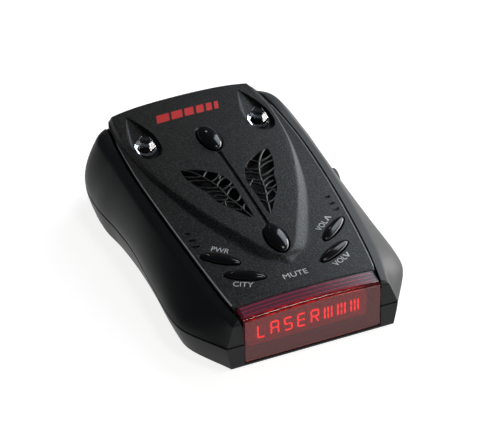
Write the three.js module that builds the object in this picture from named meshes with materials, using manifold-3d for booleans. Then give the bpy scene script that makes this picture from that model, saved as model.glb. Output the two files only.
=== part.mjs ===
// Windscreen radar detector: case shells, top panel, display, buttons, speaker and receiver, as separate
// pieces.
// Millimetres, +Z up. The display faces -Y, the road-facing end +Y, and +X is to the right of the display.
// Inside this file y is the distance behind the window's face; the whole group is shifted by half the length.
import * as THREE from 'three';
import { mergeVertices } from 'three/addons/utils/BufferGeometryUtils.js';
import Module from 'manifold-3d';

const wasm = await Module();
wasm.setup();

// ---------- Driving dimensions ----------
const length = 110; // window face to rear wall, at the seam
const width = 76.8; // across the widest part of the seam
const frontHeight = 18; // top panel's margin at the window
const rearHeight = 26.3; // top panel's margin at the rear wall
const crown = 1.3; // drop of the top from its middle line to the panel's edge
const seamHeight = 8.5; // height of the line where the two case halves meet
const wall = 2; // case walls
const floor = 2; // lower case floor
const gap = 0.3; // clearance between neighbouring pieces
const bottomRound = 1.2; // chamfer round the foot of the case

const panelThickness = 2; // top panel without its raised field
const fieldRise = 1.2; // height of the raised V field above the margin
const grooveWidth = 0.7; // dark groove between panel and rails
const railWidth = 3.1;
const railSink = 0.4; // rail's inner edge below the panel's margin
const railFall = 0.8; // further drop of the rail to its outer edge
const wallBulge = 0.05; // outward bow of the side walls, as a share of the half width
const bulgeStart = 14; // the bow grows from nothing at the front to its full size here
const panelRearBow = 1.6; // the rear edge's corners ahead of its middle
const ledge = 1; // shelf of the upper case under the panel's edge
const ledgeThickness = 1.5;

const windowDepth = 6; // strip of the window on the top
const windowThickness = 1.6;
const windowSill = 1.4; // height of the window's lower edge
const windowRound = 1; // rounded edge between its face and its top strip
const displaySetback = 4.4; // characters behind the window's face
const displayMargin = 2.9; // window's half width beyond the display modules
const moduleDepth = 3.6;
const moduleFoot = 2.2; // display modules above the floor
const moduleHead = 0.8; // and below the ledge under the top panel

const boardThickness = 1.6;
const boardLift = 6.5; // underside of the main board above the underside of the case
const boardFront = 9.8;
const boardRearMargin = 7;

const muteY = 27.5;
const muteHalfLength = 6.35;
const muteHalfWidth = 3.15;
const domeFromRear = 29; // sensor dome's centre ahead of the rear wall
const domeHalfLength = 6.8;
const domeHalfWidth = 3.3;
const domeRise = 2;
const slimHalfLength = 6.3; // slim buttons
const slimHalfWidth = 1.6;
const slimRise = 0.9;
const muteRise = 1.6;
const buttonTravel = 0.5;
const stemRadius = 1.6;
const retainerThickness = 1;
const switchSize = 6;
const switchHeight = 3.5;
const plungerRadius = 1.75;
const plungerDip = 1; // plunger's length inside the switch body

const veinHalfWidth = 0.45; // groove between the dome and the mute button
const veinDepth = 0.7;
const veinMargin = 0.9; // between the groove's end and a button
const grilleMargin = 5.6; // between the groove's end and the grille
const grilleRows = 8;
const leafHalfWidth = 1.2;
const leafLean = [35, -15]; // degrees outwards, by turns

const prismFromRear = 23;
const prismFromEdge = 8.1; // prism's centre inside the panel's edge
const prismHalfLength = 4.5;
const prismHalfWidth = 3.5;
const prismHeight = 3.7;
const hollowDepth = 2.4; // teardrop hollow, below the raised field
const hollowMargin = 1; // hollow's floor beside the prism
const hollowRear = 6.5; // hollow's pointed end, ahead of the rear wall
const hollowLength = 25;
const lampRadius = 2.5;
const lampHeight = 8.6;
const lightStemRadius = 1.8;

const screwInset = 8; // case screws inside the seam's outline
const screwFrontY = 13;
const screwFromRear = 18;
const bossRadius = 4.3;
const upperBossRadius = 3.2;
const screwHeadRadius = 2.8;
const screwHeadHeight = 2;
const screwRadius = 1.25;
const screwRecess = 1.2; // head below the underside
const screwGrip = 6; // thread in the upper case
const boardScrewRadius = 0.9;
const boardScrewHeadRadius = 2;
const boardScrewHeadHeight = 1.2;
const boardScrewInset = 3.6; // board screws inside the board's edge
const postRadius = 3;

const hornFromRear = 6; // horn's mouth ahead of the rear wall
const hornLength = 20.7;
const hornThroat = 8; // half width where the horn starts
const hornWall = 1.2;
const microwaveLength = 11;
const coverThickness = 0.8;
const laserBoardThickness = 1.2;
const laserBoardLength = 26;
const laserBoardHalfWidth = 13;
const holderHeight = 4.4;
const holderHalfWidth = 7;
const holderLength = 6.5;
const lensBore = 1.6;
const laserWindowThickness = 1.5;

const socketY = 62;
const socketHeight = 12.7; // axis of the power socket
const socketNose = 3.8; // radius
const socketBore = 2.75; // radius
const socketPin = 1; // radius
const socketDepth = 9;

const seatHeight = 12.8; // middle of the flat seat for the windscreen bracket
const seatHalfHeight = 2.6;
const seatHalfWidth = 20;
const seatSink = 1; // seat ahead of the rear wall's furthest point
const slotHalfHeight = 0.9;
const slotInner = 9;
const slotOuter = 16;

const halfWidth = width / 2;
const domeY = length - domeFromRear;
const boardTop = boardLift + boardThickness;
const partsFloor = boardTop + gap; // underside of what stands on the main board
const hollowHalfWidth = prismHalfWidth + hollowMargin;

// Outlines seen from above: [share of the half width, share of the length], front corner to rear middle.
const bottomOutline = [
  [0.711, 0], [0.919, 0.136], [0.935, 0.209], [0.911, 0.345], [0.896, 0.527],
  [0.914, 0.655], [0.951, 0.764], [0.901, 0.895], [0.677, 0.971], [0.35, 0.987], [0, 0.991],
];
const seamOutline = [
  [0.745, 0], [0.971, 0.132], [1, 0.2], [0.979, 0.345], [0.945, 0.536],
  [0.961, 0.655], [0.997, 0.782], [0.948, 0.909], [0.72, 0.979], [0.37, 0.996], [0, 1],
];
const shoulderOutline = [
  [0.677, 0.007], [0.745, 0.132], [0.766, 0.2], [0.799, 0.345], [0.826, 0.545],
  [0.831, 0.664], [0.826, 0.782], [0.808, 0.923], [0.7, 0.957], [0.35, 0.975], [0, 0.98],
];
// Half widths of the top panel and of the raised field on it, against the share of the length.
const panelEdge = [
  [0, 0.586], [0.09, 0.63], [0.18, 0.659], [0.27, 0.682], [0.41, 0.711],
  [0.545, 0.729], [0.68, 0.737], [0.82, 0.72], [0.91, 0.693], [0.955, 0.68], [0.985, 0.655],
];
// The raised field, as a share of the panel's half width; below zero is ahead of its blunt tip.
const fieldEdge = [
  [0.142, -0.14], [0.178, 0], [0.19, 0.16], [0.218, 0.25], [0.273, 0.336], [0.364, 0.489],
  [0.455, 0.627], [0.545, 0.736], [0.636, 0.82], [0.727, 0.875], [0.864, 0.93], [1, 0.93],
];

const looks = {
  satinBlack: { color: 0x17181a, roughness: 0.55, metalness: 0 },
  grainBlack: { color: 0x1d1f22, roughness: 0.6, metalness: 0.1 },
  glossBlack: { color: 0x08090b, roughness: 0.12, metalness: 0 },
  redWindow: { color: 0x5a0a0e, roughness: 0.15, metalness: 0 },
  clear: { color: 0xd9dde0, roughness: 0.08, metalness: 0 },
  cloth: { color: 0x0b0b0c, roughness: 0.95, metalness: 0 },
  boardGreen: { color: 0x1d5a38, roughness: 0.5, metalness: 0 },
  partBlack: { color: 0x141414, roughness: 0.5, metalness: 0 },
  metal: { color: 0xa8aaad, roughness: 0.35, metalness: 1 },
  moduleRed: { color: 0x8c1010, roughness: 0.3, metalness: 0 },
  paper: { color: 0xc9cac6, roughness: 0.8, metalness: 0 },
  cone: { color: 0x232323, roughness: 0.9, metalness: 0 },
  white: { color: 0xd8d8d2, roughness: 0.5, metalness: 0 },
};

// ---------- Curves ----------
// A smooth curve through [position, value] pairs, held at its end values outside them.
function through(pairs) {
  const spline = new THREE.SplineCurve(pairs.map(([x, y]) => new THREE.Vector2(x, y)));
  const samples = spline.getPoints(12 * (pairs.length - 1));
  return (position) => {
    const next = samples.findIndex((point) => point.x >= position);
    if (next === 0) return samples[0].y;
    if (next < 0) return samples.at(-1).y;
    const [a, b] = [samples[next - 1], samples[next]];
    return a.y + ((b.y - a.y) * (position - a.x)) / (b.x - a.x);
  };
}

const sideOf = (outline) => through(outline.slice(0, 8).map(([x, y]) => [y, x]));
const seamSide = sideOf(seamOutline);
const shoulderSide = sideOf(shoulderOutline);
const panelSide = through(panelEdge);
const fieldSide = through(fieldEdge);

const seamHalf = (y) => seamSide(y / length) * halfWidth;
const shoulderHalf = (y) => shoulderSide(y / length) * halfWidth;
const panelHalf = (y) => panelSide(y / length) * halfWidth;
const smooth = (t) => {
  const c = THREE.MathUtils.clamp(t, 0, 1);
  return c * c * (3 - 2 * c);
};

// Height of the top panel's margin: a parabola along the case, and a slight crown across it.
function deck(x, y) {
  const along = y / length;
  const across = x / (0.716 * halfWidth);
  const climb = 2.244 * along - 1.244 * along ** 2;
  return frontHeight + (rearHeight - frontHeight) * climb - crown * across ** 2;
}

// Height of the panel with its raised V field, whose sloping rim narrows from front to rear.
function surface(x, y) {
  const rim = THREE.MathUtils.lerp(3.7, 1, smooth((y / length - 0.25) / 0.45));
  const outside = Math.abs(x) - fieldSide(y / length) * panelHalf(y);
  return deck(x, y) + fieldRise * smooth(1 - outside / rim);
}

const shoulderZ = (x, y) => deck(x, y) - railSink - railFall;
const bow = (y, t) => 1 + wallBulge * 4 * t * (1 - t) * smooth(y / bulgeStart);

// Half width of the outer side wall at a height between the seam and the shoulder.
function wallHalf(y, z) {
  const t = (z - seamHeight) / (shoulderZ(shoulderHalf(y), y) - seamHeight);
  return THREE.MathUtils.lerp(seamHalf(y), shoulderHalf(y), t) * bow(y, t);
}

// Rear wall's position on the middle line at a height.
function rearWall(z) {
  const t = (z - seamHeight) / (shoulderZ(0, length) - seamHeight);
  return length * THREE.MathUtils.lerp(1, shoulderOutline.at(-1)[1], t);
}

// ---------- Solids ----------
function toManifold(geometry) {
  const bare = new THREE.BufferGeometry();
  bare.setAttribute('position', geometry.getAttribute('position').clone());
  if (geometry.index) bare.setIndex(geometry.index.clone());
  const merged = mergeVertices(bare, 1e-4);
  const mesh = new wasm.Mesh({
    numProp: 3,
    vertProperties: new Float32Array(merged.attributes.position.array),
    triVerts: new Uint32Array(merged.index.array),
  });
  return new wasm.Manifold(mesh);
}

function toGeometry(solid) {
  const mesh = solid.getMesh();
  const geometry = new THREE.BufferGeometry();
  geometry.setAttribute('position', new THREE.BufferAttribute(new Float32Array(mesh.vertProperties), 3));
  geometry.setIndex(new THREE.BufferAttribute(new Uint32Array(mesh.triVerts), 1));
  geometry.computeVertexNormals();
  return geometry;
}

const cut = (geometry, cutters) =>
  toGeometry(cutters.reduce((solid, cutter) => solid.subtract(toManifold(cutter)), toManifold(geometry)));
const join = ([first, ...others]) =>
  toGeometry(others.reduce((solid, other) => solid.add(toManifold(other)), toManifold(first)));
const common = (a, b) => toGeometry(toManifold(a).intersect(toManifold(b)));

// A box between two corners.
function box(low, high) {
  const size = high.map((value, axis) => value - low[axis]);
  const middle = high.map((value, axis) => (value + low[axis]) / 2);
  return new THREE.BoxGeometry(...size).translate(...middle);
}

// An upright cylinder.
function rod(x, y, low, high, radius, sides = 16) {
  const cylinder = new THREE.CylinderGeometry(radius, radius, high - low, sides);
  return cylinder.rotateX(Math.PI / 2).translate(x, y, (low + high) / 2);
}

// A cylinder along X or Y.
function bar(axis, start, end, across, z, radius, sides = 16) {
  const cylinder = new THREE.CylinderGeometry(radius, radius, end - start, sides);
  if (axis === 'x') return cylinder.rotateZ(-Math.PI / 2).translate((start + end) / 2, across, z);
  return cylinder.translate(across, (start + end) / 2, z);
}

function lathe(profile, sides = 18) {
  const points = profile.map(([radius, height]) => new THREE.Vector2(radius, height));
  return new THREE.LatheGeometry(points, sides).rotateX(Math.PI / 2);
}

// A closed solid through rings of equally many points, each counter-clockwise from above.
// The caps are fans around a middle point that sits at the given heights.
function loft(rings, middleY, lowMiddle, highMiddle) {
  const count = rings[0].length;
  const points = rings.flat();
  const lowIndex = points.length;
  points.push([0, middleY, lowMiddle], [0, middleY, highMiddle]);
  const faces = [];
  for (let i = 0; i < count; i += 1) {
    const next = (i + 1) % count;
    const top = (rings.length - 1) * count;
    faces.push(lowIndex, next, i, lowIndex + 1, top + i, top + next);
    for (let ring = 0; ring < rings.length - 1; ring += 1) {
      const a = ring * count + i;
      const b = ring * count + next;
      faces.push(a, b, b + count, a, b + count, a + count);
    }
  }
  return fromArrays(points, faces);
}

function fromArrays(points, faces) {
  const geometry = new THREE.BufferGeometry();
  geometry.setAttribute('position', new THREE.Float32BufferAttribute(points.flat(), 3));
  geometry.setIndex(faces);
  return geometry;
}

// A closed solid between two heights over a plan grid: plan(u, v) gives [x, y] for u and v from 0 to 1,
// with u to the right and v to the rear, and low and high give z from x, y, u and v.
function slab(plan, low, high, columns, rows) {
  const points = [];
  for (const height of [low, high]) {
    for (let row = 0; row <= rows; row += 1) {
      for (let column = 0; column <= columns; column += 1) {
        const [u, v] = [column / columns, row / rows];
        const [x, y] = plan(u, v);
        points.push([x, y, height(x, y, u, v)]);
      }
    }
  }
  const stride = columns + 1;
  const layer = stride * (rows + 1);
  const faces = [];
  for (let row = 0; row < rows; row += 1) {
    for (let column = 0; column < columns; column += 1) {
      const a = row * stride + column;
      const [b, c, d] = [a + 1, a + stride + 1, a + stride];
      faces.push(a, c, b, a, d, c, layer + a, layer + b, layer + c, layer + a, layer + c, layer + d);
    }
  }
  const skirt = (a, b) => faces.push(a, b, layer + b, a, layer + b, layer + a);
  for (let column = 0; column < columns; column += 1) {
    skirt(column, column + 1);
    skirt(rows * stride + column + 1, rows * stride + column);
  }
  for (let row = 0; row < rows; row += 1) {
    skirt((row + 1) * stride, row * stride);
    skirt(row * stride + columns, (row + 1) * stride + columns);
  }
  return fromArrays(points, faces);
}

// A slab over a rectangle of the plan.
function patch([left, front], [right, rear], low, high, columns, rows) {
  const plan = (u, v) => [THREE.MathUtils.lerp(left, right, u), THREE.MathUtils.lerp(front, rear, v)];
  return slab(plan, low, high, columns, rows);
}

// Ellipse turned by an angle about its centre, as rings for loft; share shrinks it towards the centre.
function ellipse({ x, y, halfLength, halfBreadth, angle }, grow, share = 1, sides = 18) {
  const turn = THREE.MathUtils.degToRad(angle);
  return Array.from({ length: sides }, (_, i) => {
    const phase = (i / sides) * 2 * Math.PI;
    const along = (halfLength + grow) * share * Math.cos(phase);
    const across = (halfBreadth + grow) * share * Math.sin(phase);
    return [
      x + along * Math.cos(turn) - across * Math.sin(turn),
      y + along * Math.sin(turn) + across * Math.cos(turn),
    ];
  });
}

// A solid over such ellipses: stages are [share, z(x, y)], from the bottom to the top.
function ovalSolid(place, grow, stages) {
  const rings = stages.map(([share, z]) => ellipse(place, grow, share).map(([x, y]) => [x, y, z(x, y)]));
  const solid = loft(
    rings.map((ring) => ring.map(([x, y, z]) => [x - place.x, y, z])),
    place.y,
    stages[0][1](place.x, place.y),
    stages.at(-1)[1](place.x, place.y),
  );
  return solid.translate(place.x, 0, 0);
}

// ---------- Case shells ----------
const sideSteps = 40;
const frontSteps = 4;

// Closed outline, counter-clockwise from above: right side, rear, left side, and the straight front.
function outline(rows) {
  const right = rows.map(([x, y]) => new THREE.Vector3(x * halfWidth, y * length, 0));
  const left = right.slice(0, -1).reverse().map((point) => new THREE.Vector3(-point.x, point.y, 0));
  const curve = new THREE.CatmullRomCurve3([...right, ...left], false, 'centripetal');
  const points = curve.getPoints(sideSteps).map((point) => [point.x, point.y]);
  const corner = right[0];
  for (let i = 1; i < frontSteps; i += 1) points.push([corner.x * (2 * (i / frontSteps) - 1), corner.y]);
  return points;
}

// The outline moved inwards by a distance, with mitred corners.
function inset(points, distance) {
  const unit = ([ax, ay], [bx, by]) => {
    const size = Math.hypot(bx - ax, by - ay);
    return [(bx - ax) / size, (by - ay) / size];
  };
  return points.map(([x, y], i) => {
    const before = unit(points.at(i - 1), [x, y]);
    const after = unit([x, y], points[(i + 1) % points.length]);
    const share = distance / (1 + before[0] * after[0] + before[1] * after[1]);
    return [x - (before[1] + after[1]) * share, y + (before[0] + after[0]) * share];
  });
}

const bottomRing = outline(bottomOutline);
const seamRing = outline(seamOutline);
const shoulderRing = outline(shoulderOutline);
const blend = (a, b, t) => a.map(([x, y], i) => [x + (b[i][0] - x) * t, y + (b[i][1] - y) * t]);
const raise = (ring, z) => ring.map(([x, y]) => [x, y, z(x, y)]);

// Side wall of the upper case at a share t of the way from the seam to the shoulder.
function wallRing(t, inward, low, high) {
  const bowed = blend(seamRing, shoulderRing, t).map(([x, y]) => [x * bow(y, t), y]);
  return raise(inset(bowed, inward), (x, y) => THREE.MathUtils.lerp(low, high(x, y), t));
}

const screwPlaces = [screwFrontY, length - screwFromRear].flatMap((y) =>
  [-1, 1].map((side) => [side * (seamHalf(y) - screwInset), y]),
);
const panelInPlan = (grow, front, rear) => (u, v) => {
  const y = THREE.MathUtils.lerp(front, rear, v);
  return [(2 * u - 1) * (panelHalf(y) + grow), y];
};
const windowHalf = panelHalf(0);
const windowCut = box(
  [-windowHalf - gap, -wall, windowSill - gap],
  [windowHalf + gap, windowDepth + gap, 2 * frontHeight],
);

function upperCase() {
  const low = seamHeight + gap / 2;
  const underPanel = panelThickness + gap;
  const levels = [0, 0.25, 0.5, 0.75, 1];
  const outer = loft(
    [
      ...levels.map((t) => wallRing(t, 0, low, shoulderZ)),
      raise(inset(shoulderRing, railWidth), (x, y) => deck(x, y) - railSink),
    ],
    length / 2,
    low,
    deck(0, length / 2) - railSink,
  );
  const ceiling = (x, y) => deck(x, y) - underPanel - ledgeThickness;
  const cavity = loft(
    [raise(inset(seamRing, wall), () => low - wall), ...levels.map((t) => wallRing(t, wall, low, ceiling))],
    length / 2,
    low - wall,
    ceiling(0, length / 2),
  );
  const pocket = slab(
    panelInPlan(grooveWidth, -wall, length + wall),
    (x, y) => deck(x, y) - underPanel,
    (x, y) => deck(x, y) + fieldRise + 10,
    4,
    24,
  );
  const well = slab(
    panelInPlan(-ledge, windowDepth + gap + ledge, length - 6),
    (x, y) => deck(x, y) - 10,
    (x, y) => deck(x, y),
    4,
    20,
  );
  const bosses = screwPlaces.map(([x, y]) => common(rod(x, y, low, rearHeight, upperBossRadius), outer));
  const shell = join([cut(outer, [cavity]), ...bosses]);
  const bores = screwPlaces.map(([x, y]) => rod(x, y, low - 1, low + screwGrip + 1, screwRadius + gap, 12));
  return cut(shell, [
    pocket,
    well,
    ...bores,
    windowCut,
    bar('x', socketBodyEnd, halfWidth + 4, socketY, socketHeight, socketNose + gap, 20),
    laserOpening(gap),
    ...bracketCuts(),
  ]);
}

function lowerCase() {
  const high = seamHeight - gap / 2;
  const outer = loft(
    [
      raise(inset(bottomRing, bottomRound), () => 0),
      raise(bottomRing, () => bottomRound),
      raise(blend(bottomRing, seamRing, 0.6), () => THREE.MathUtils.lerp(bottomRound, high, 0.5)),
      raise(seamRing, () => high),
    ],
    length / 2,
    0,
    high,
  );
  const cavity = loft(
    [raise(inset(bottomRing, wall), () => floor), raise(inset(seamRing, wall), () => high + 1)],
    length / 2,
    floor,
    high + 1,
  );
  const posts = boardScrewPlaces.map(([x, y]) => rod(x, y, floor - 0.5, boardLift - gap, postRadius));
  const bosses = screwPlaces.map(([x, y]) => rod(x, y, 0.5, high, bossRadius));
  const headRoom = screwRecess + screwHeadHeight + gap;
  const holes = screwPlaces.flatMap(([x, y]) => [
    rod(x, y, -1, headRoom, screwHeadRadius + gap),
    rod(x, y, 0, high + 1, screwRadius + 1.5 * gap, 12),
  ]);
  const postHoles = boardScrewPlaces.map(([x, y]) =>
    rod(x, y, floor + 0.5, boardLift, boardScrewRadius + gap, 12),
  );
  const shell = join([cut(outer, [cavity]), ...posts, ...bosses]);
  return cut(shell, [...holes, ...postHoles, windowCut, labelRecess(gap, -1)]);
}

// ---------- Top panel ----------
const prismY = length - prismFromRear;
const prismX = panelHalf(prismY) - prismFromEdge;
const hollowFloor = (x, y) => deck(x, y) + fieldRise - hollowDepth;

// Buttons: place on the panel, turn in degrees, and how far the cap stands proud.
const rearPairY = 26.9;
const frontPairY = 17.35;
const rearPairX = panelHalf(rearPairY) - 6.8;
const frontPairX = panelHalf(frontPairY) - 10;
const slim = { halfLength: slimHalfLength, halfBreadth: slimHalfWidth, rise: slimRise, retainer: 3.4 };
const buttons = {
  power: { ...slim, x: -rearPairX, y: rearPairY, angle: -39.8 },
  city: { ...slim, x: -frontPairX, y: frontPairY, angle: -28 },
  mute: {
    halfLength: muteHalfLength, halfBreadth: muteHalfWidth, rise: muteRise, retainer: 4.8,
    x: 0, y: muteY, angle: 90,
  },
  volume_up: { ...slim, x: rearPairX, y: rearPairY, angle: 39.8 },
  volume_down: { ...slim, x: frontPairX, y: frontPairY, angle: 28 },
};
const dome = { x: 0, y: domeY, halfLength: domeHalfLength, halfBreadth: domeHalfWidth, angle: 90 };

const throughPanel = (place) =>
  ovalSolid(place, gap, [
    [1, (x, y) => deck(x, y) - 2 * panelThickness],
    [1, (x, y) => deck(x, y) + 2 * panelThickness],
  ]);

const veinFront = muteY + muteHalfLength + veinMargin;
const veinRear = domeY - domeHalfLength - veinMargin;

// Speaker slots: rows of pointed leaves inside a wing, between an inner and an outer edge on each side.
const grilleFront = veinFront + grilleMargin;
const grilleRear = veinRear - grilleMargin + 2;
const wingInner = through([[0, 2.2], [0.35, 2.4], [0.6, 2.6], [0.78, 5], [0.92, 10], [1, 14.5]]);
const wingOuter = through([[0, 4], [0.15, 7], [0.35, 10.6], [0.55, 11.6], [0.72, 14], [0.87, 15.4], [1, 16]]);
const leafCount = [1, 1, 2, 2, 3, 3, 2, 1];

function leaves() {
  const pitch = (grilleRear - grilleFront) / grilleRows;
  const places = [];
  for (let row = 0; row < grilleRows; row += 1) {
    const share = (row + 0.5) / grilleRows;
    const inner = wingInner(share);
    const step = (wingOuter(share) - inner) / leafCount[row];
    for (let k = 0; k < leafCount[row]; k += 1) {
      const x = inner + (k + 0.5) * step;
      const y = grilleFront + share * (grilleRear - grilleFront);
      const angle = 90 - leafLean[(row + k) % 2];
      const halfBreadth = Math.min(leafHalfWidth, step * 0.34);
      places.push({ x, y, angle, halfLength: pitch * 0.6, halfBreadth });
    }
  }
  return places.flatMap((leaf) => [leaf, { ...leaf, x: -leaf.x, angle: 180 - leaf.angle }]);
}

function leafCut(leaf) {
  const turn = THREE.MathUtils.degToRad(leaf.angle);
  const tips = [[1, 0], [0.45, 0.8], [-0.3, 1], [-1, 0], [-0.3, -1], [0.45, -0.8]];
  const ring = tips.map(([along, across]) => [
    along * leaf.halfLength * Math.cos(turn) - across * leaf.halfBreadth * Math.sin(turn),
    along * leaf.halfLength * Math.sin(turn) + across * leaf.halfBreadth * Math.cos(turn),
  ]);
  const level = deck(leaf.x, leaf.y);
  const [low, high] = [level - 2 * panelThickness, level + 2 * panelThickness];
  const solid = loft([raise(ring, () => low), raise(ring, () => high)], 0, low, high);
  return solid.translate(leaf.x, leaf.y, 0);
}

// Teardrop hollow round a prism: pointed at the rear, deepest near its blunt front.
const hollowSide = through([
  [0, 0.08], [0.2, 0.5], [0.45, 0.9], [0.63, 1], [0.82, 0.92], [0.94, 0.6], [1, 0.1],
]);
const hollowDip = through([[0, 0.1], [0.25, 0.55], [0.45, 0.96], [0.6, 1], [0.9, 1], [1, 0.3]]);
function hollow(side) {
  const rear = length - hollowRear;
  const half = (v) => hollowHalfWidth * hollowSide(1 - v);
  return slab(
    (u, v) => [side * prismX + (2 * u - 1) * half(v), rear - hollowLength * (1 - v)],
    (x, y, u, v) => surface(x, y) - hollowDepth * hollowDip(1 - v) * (1 - (2 * u - 1) ** 8),
    (x, y) => surface(x, y) + 3,
    8,
    10,
  );
}

function topPanel() {
  const rearEdge = length * 0.982;
  const front = windowDepth + gap;
  const plan = (u, v) => {
    const across = 2 * u - 1;
    const y = THREE.MathUtils.lerp(front, rearEdge, v);
    return [across * panelHalf(y), THREE.MathUtils.lerp(front, rearEdge - panelRearBow * across ** 4, v)];
  };
  const edgeDrop = (u, v) => (Math.abs(2 * u - 1) > 0.999 || v > 0.999 ? 0.4 : 0);
  const sheet = slab(
    plan,
    (x, y) => deck(x, y) - panelThickness,
    (x, y, u, v) => surface(x, y) - edgeDrop(u, v),
    16,
    18,
  );
  const vein = patch(
    [-veinHalfWidth, veinFront],
    [veinHalfWidth, veinRear],
    (x, y) => surface(x, y) - veinDepth,
    (x, y) => surface(x, y) + 2,
    1,
    8,
  );
  const stems = [-1, 1].map((side) =>
    rod(side * prismX, prismY, deck(0, prismY) - 10, rearHeight + 5, lightStemRadius + gap, 16),
  );
  const holes = [...Object.values(buttons), dome].map(throughPanel);
  return cut(sheet, [vein, ...holes, ...leaves().map(leafCut), hollow(-1), hollow(1), ...stems]);
}

function speakerCloth() {
  const half = Math.max(wingOuter(1), speakerRadius) + 1;
  const under = (x, y) => deck(x, y) - panelThickness - gap;
  const [front, rear] = [grilleFront - 1, grilleRear + 1];
  return patch([-half, front], [half, rear], (x, y) => under(x, y) - 0.4, under, 6, 6);
}

// ---------- Window, dome and prisms ----------
function displayWindow() {
  const rows = [0, 0.3, 1, windowDepth];
  const round = (y) => windowRound - Math.sqrt(windowRound ** 2 - Math.max(windowRound - y, 0) ** 2);
  const strip = slab(
    (u, v) => [(2 * u - 1) * windowHalf, rows[Math.round(v * (rows.length - 1))]],
    (x, y) => deck(x, y) - windowThickness,
    (x, y) => deck(x, y) - round(y),
    8,
    rows.length - 1,
  );
  const face = patch(
    [-windowHalf, 0],
    [windowHalf, windowThickness],
    () => windowSill,
    (x, y) => deck(x, y) - windowRound - 0.1,
    8,
    1,
  );
  return join([strip, face]);
}

// A domed cap: its skirt from a flat bottom, then rings that rise towards the middle.
function domedCap(place, bottom, rise) {
  const shoulder = (x, y) => surface(x, y) + 0.15 * rise;
  return ovalSolid(place, 0, [
    [1, () => bottom],
    [1, shoulder],
    [0.88, (x, y) => shoulder(x, y) + 0.4 * rise],
    [0.6, (x, y) => shoulder(x, y) + 0.7 * rise],
    [0.25, (x, y) => shoulder(x, y) + 0.83 * rise],
  ]);
}

function sensorDome() {
  const below = deck(domeHalfWidth, domeY - domeHalfLength) - panelThickness - gap;
  const flange = ovalSolid(dome, 1, [
    [1, () => below - 0.8],
    [1, () => below],
  ]);
  return join([domedCap(dome, below - 0.4, domeRise), flange]);
}

// Faceted prism in its hollow, on a stem that carries the light up from the lamp.
function prism(side) {
  const base = hollowFloor(prismX - prismHalfWidth, prismY) + gap;
  const gem = new THREE.CylinderGeometry(0.55, 1, prismHeight, 8).rotateX(Math.PI / 2).rotateZ(Math.PI / 8);
  gem.scale(prismHalfWidth, prismHalfLength, 1).translate(side * prismX, prismY, base + prismHeight / 2);
  const lampTop = partsFloor + lampHeight;
  return join([gem, rod(side * prismX, prismY, lampTop + gap, base + 0.5, lightStemRadius, 12)]);
}

// ---------- Buttons and switches ----------
// Lowest point of the panel's underside over a disc.
function undersideNear({ x, y }, radius) {
  return deck(Math.abs(x) + radius, y - radius) - panelThickness;
}

function buttonCap(place) {
  const retainerTop = undersideNear(place, place.retainer) - gap;
  return join([
    domedCap(place, retainerTop - 0.3, place.rise),
    rod(place.x, place.y, retainerTop - retainerThickness, retainerTop, place.retainer, 16),
    rod(place.x, place.y, stemFoot(place), retainerTop - 0.5, stemRadius, 12),
  ]);
}

const switchTop = partsFloor + switchHeight;
const stemFoot = (place) => undersideNear(place, place.retainer) - gap - retainerThickness - 1.5;

function switchBody({ x, y }) {
  const half = switchSize / 2;
  const depth = plungerDip + buttonTravel + gap;
  return cut(box([x - half, y - half, partsFloor], [x + half, y + half, switchTop]), [
    rod(x, y, switchTop - depth, switchTop + 1, plungerRadius + gap, 12),
  ]);
}

const switchPlunger = (place) =>
  rod(place.x, place.y, switchTop - plungerDip, stemFoot(place) - gap, plungerRadius, 12);

// ---------- Boards ----------
const boardHalf = seamHalf(screwFrontY) - screwInset - bossRadius - 2 * gap;
const boardScrewX = boardHalf - boardScrewInset;
const boardScrewPlaces = [36, length - 33].flatMap((y) => [-1, 1].map((side) => [side * boardScrewX, y]));
const socketInner = boardHalf + 1.3;
const socketFace = wallHalf(socketY, socketHeight) - 0.1;
const socketHalfLength = 4.5;
const socketTop = socketHeight + socketNose + 0.5;
const socketWalls = [-1, 0, 1].map((end) => wallHalf(socketY + end * socketHalfLength, socketTop));
const socketBodyEnd = Math.min(...socketWalls) - wall - 1.5;

function mainBoard() {
  const plate = box([-boardHalf, boardFront, boardLift], [boardHalf, length - boardRearMargin, boardTop]);
  const ear = box([boardHalf - 1, socketY - 6, boardLift], [socketBodyEnd, socketY + 6, boardTop]);
  const holes = boardScrewPlaces.map(([x, y]) =>
    rod(x, y, boardLift - 1, boardTop + 1, boardScrewRadius + gap, 12),
  );
  return cut(join([plate, ear]), holes);
}

const moduleLow = floor + moduleFoot;
const moduleTop = frontHeight - panelThickness - gap - ledgeThickness - moduleHead;

function displayBoard() {
  const front = displaySetback + moduleDepth + gap;
  const top = deck(windowHalf, front) - panelThickness - 0.5;
  return box([-windowHalf + 1.5, front, floor + 1], [windowHalf - 1.5, front + 1.2, top]);
}

function displayModule(side) {
  const inner = gap / 2;
  const outer = windowHalf - displayMargin;
  const xs = side < 0 ? [-outer, -inner] : [inner, outer];
  return box(
    [xs[0], displaySetback, moduleLow],
    [xs[1], displaySetback + moduleDepth, moduleTop],
  );
}

const crystalX = 10;
const crystalY = 42;
const crystalDepth = 4.5;
const capacitorRadius = 3.15;
const capacitorY = crystalY + crystalDepth / 2 + capacitorRadius + 2 * gap;

const onBoard = (x, y, sizeX, sizeY, height) =>
  box([x - sizeX / 2, y - sizeY / 2, partsFloor], [x + sizeX / 2, y + sizeY / 2, partsFloor + height]);

// ---------- Speaker, under the grille and tilted with it ----------
const speakerY = (grilleFront + grilleRear) / 2;
const speakerRadius = (grilleRear - grilleFront) / 2 - 1.4;

function speakerPart(geometry) {
  const slope = (deck(0, speakerY + 1) - deck(0, speakerY - 1)) / 2;
  const edgeLow = deck(speakerRadius, speakerY) - panelThickness - 2 * gap - 0.4;
  return geometry.rotateX(Math.atan(slope)).translate(0, speakerY, edgeLow - gap);
}

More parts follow.
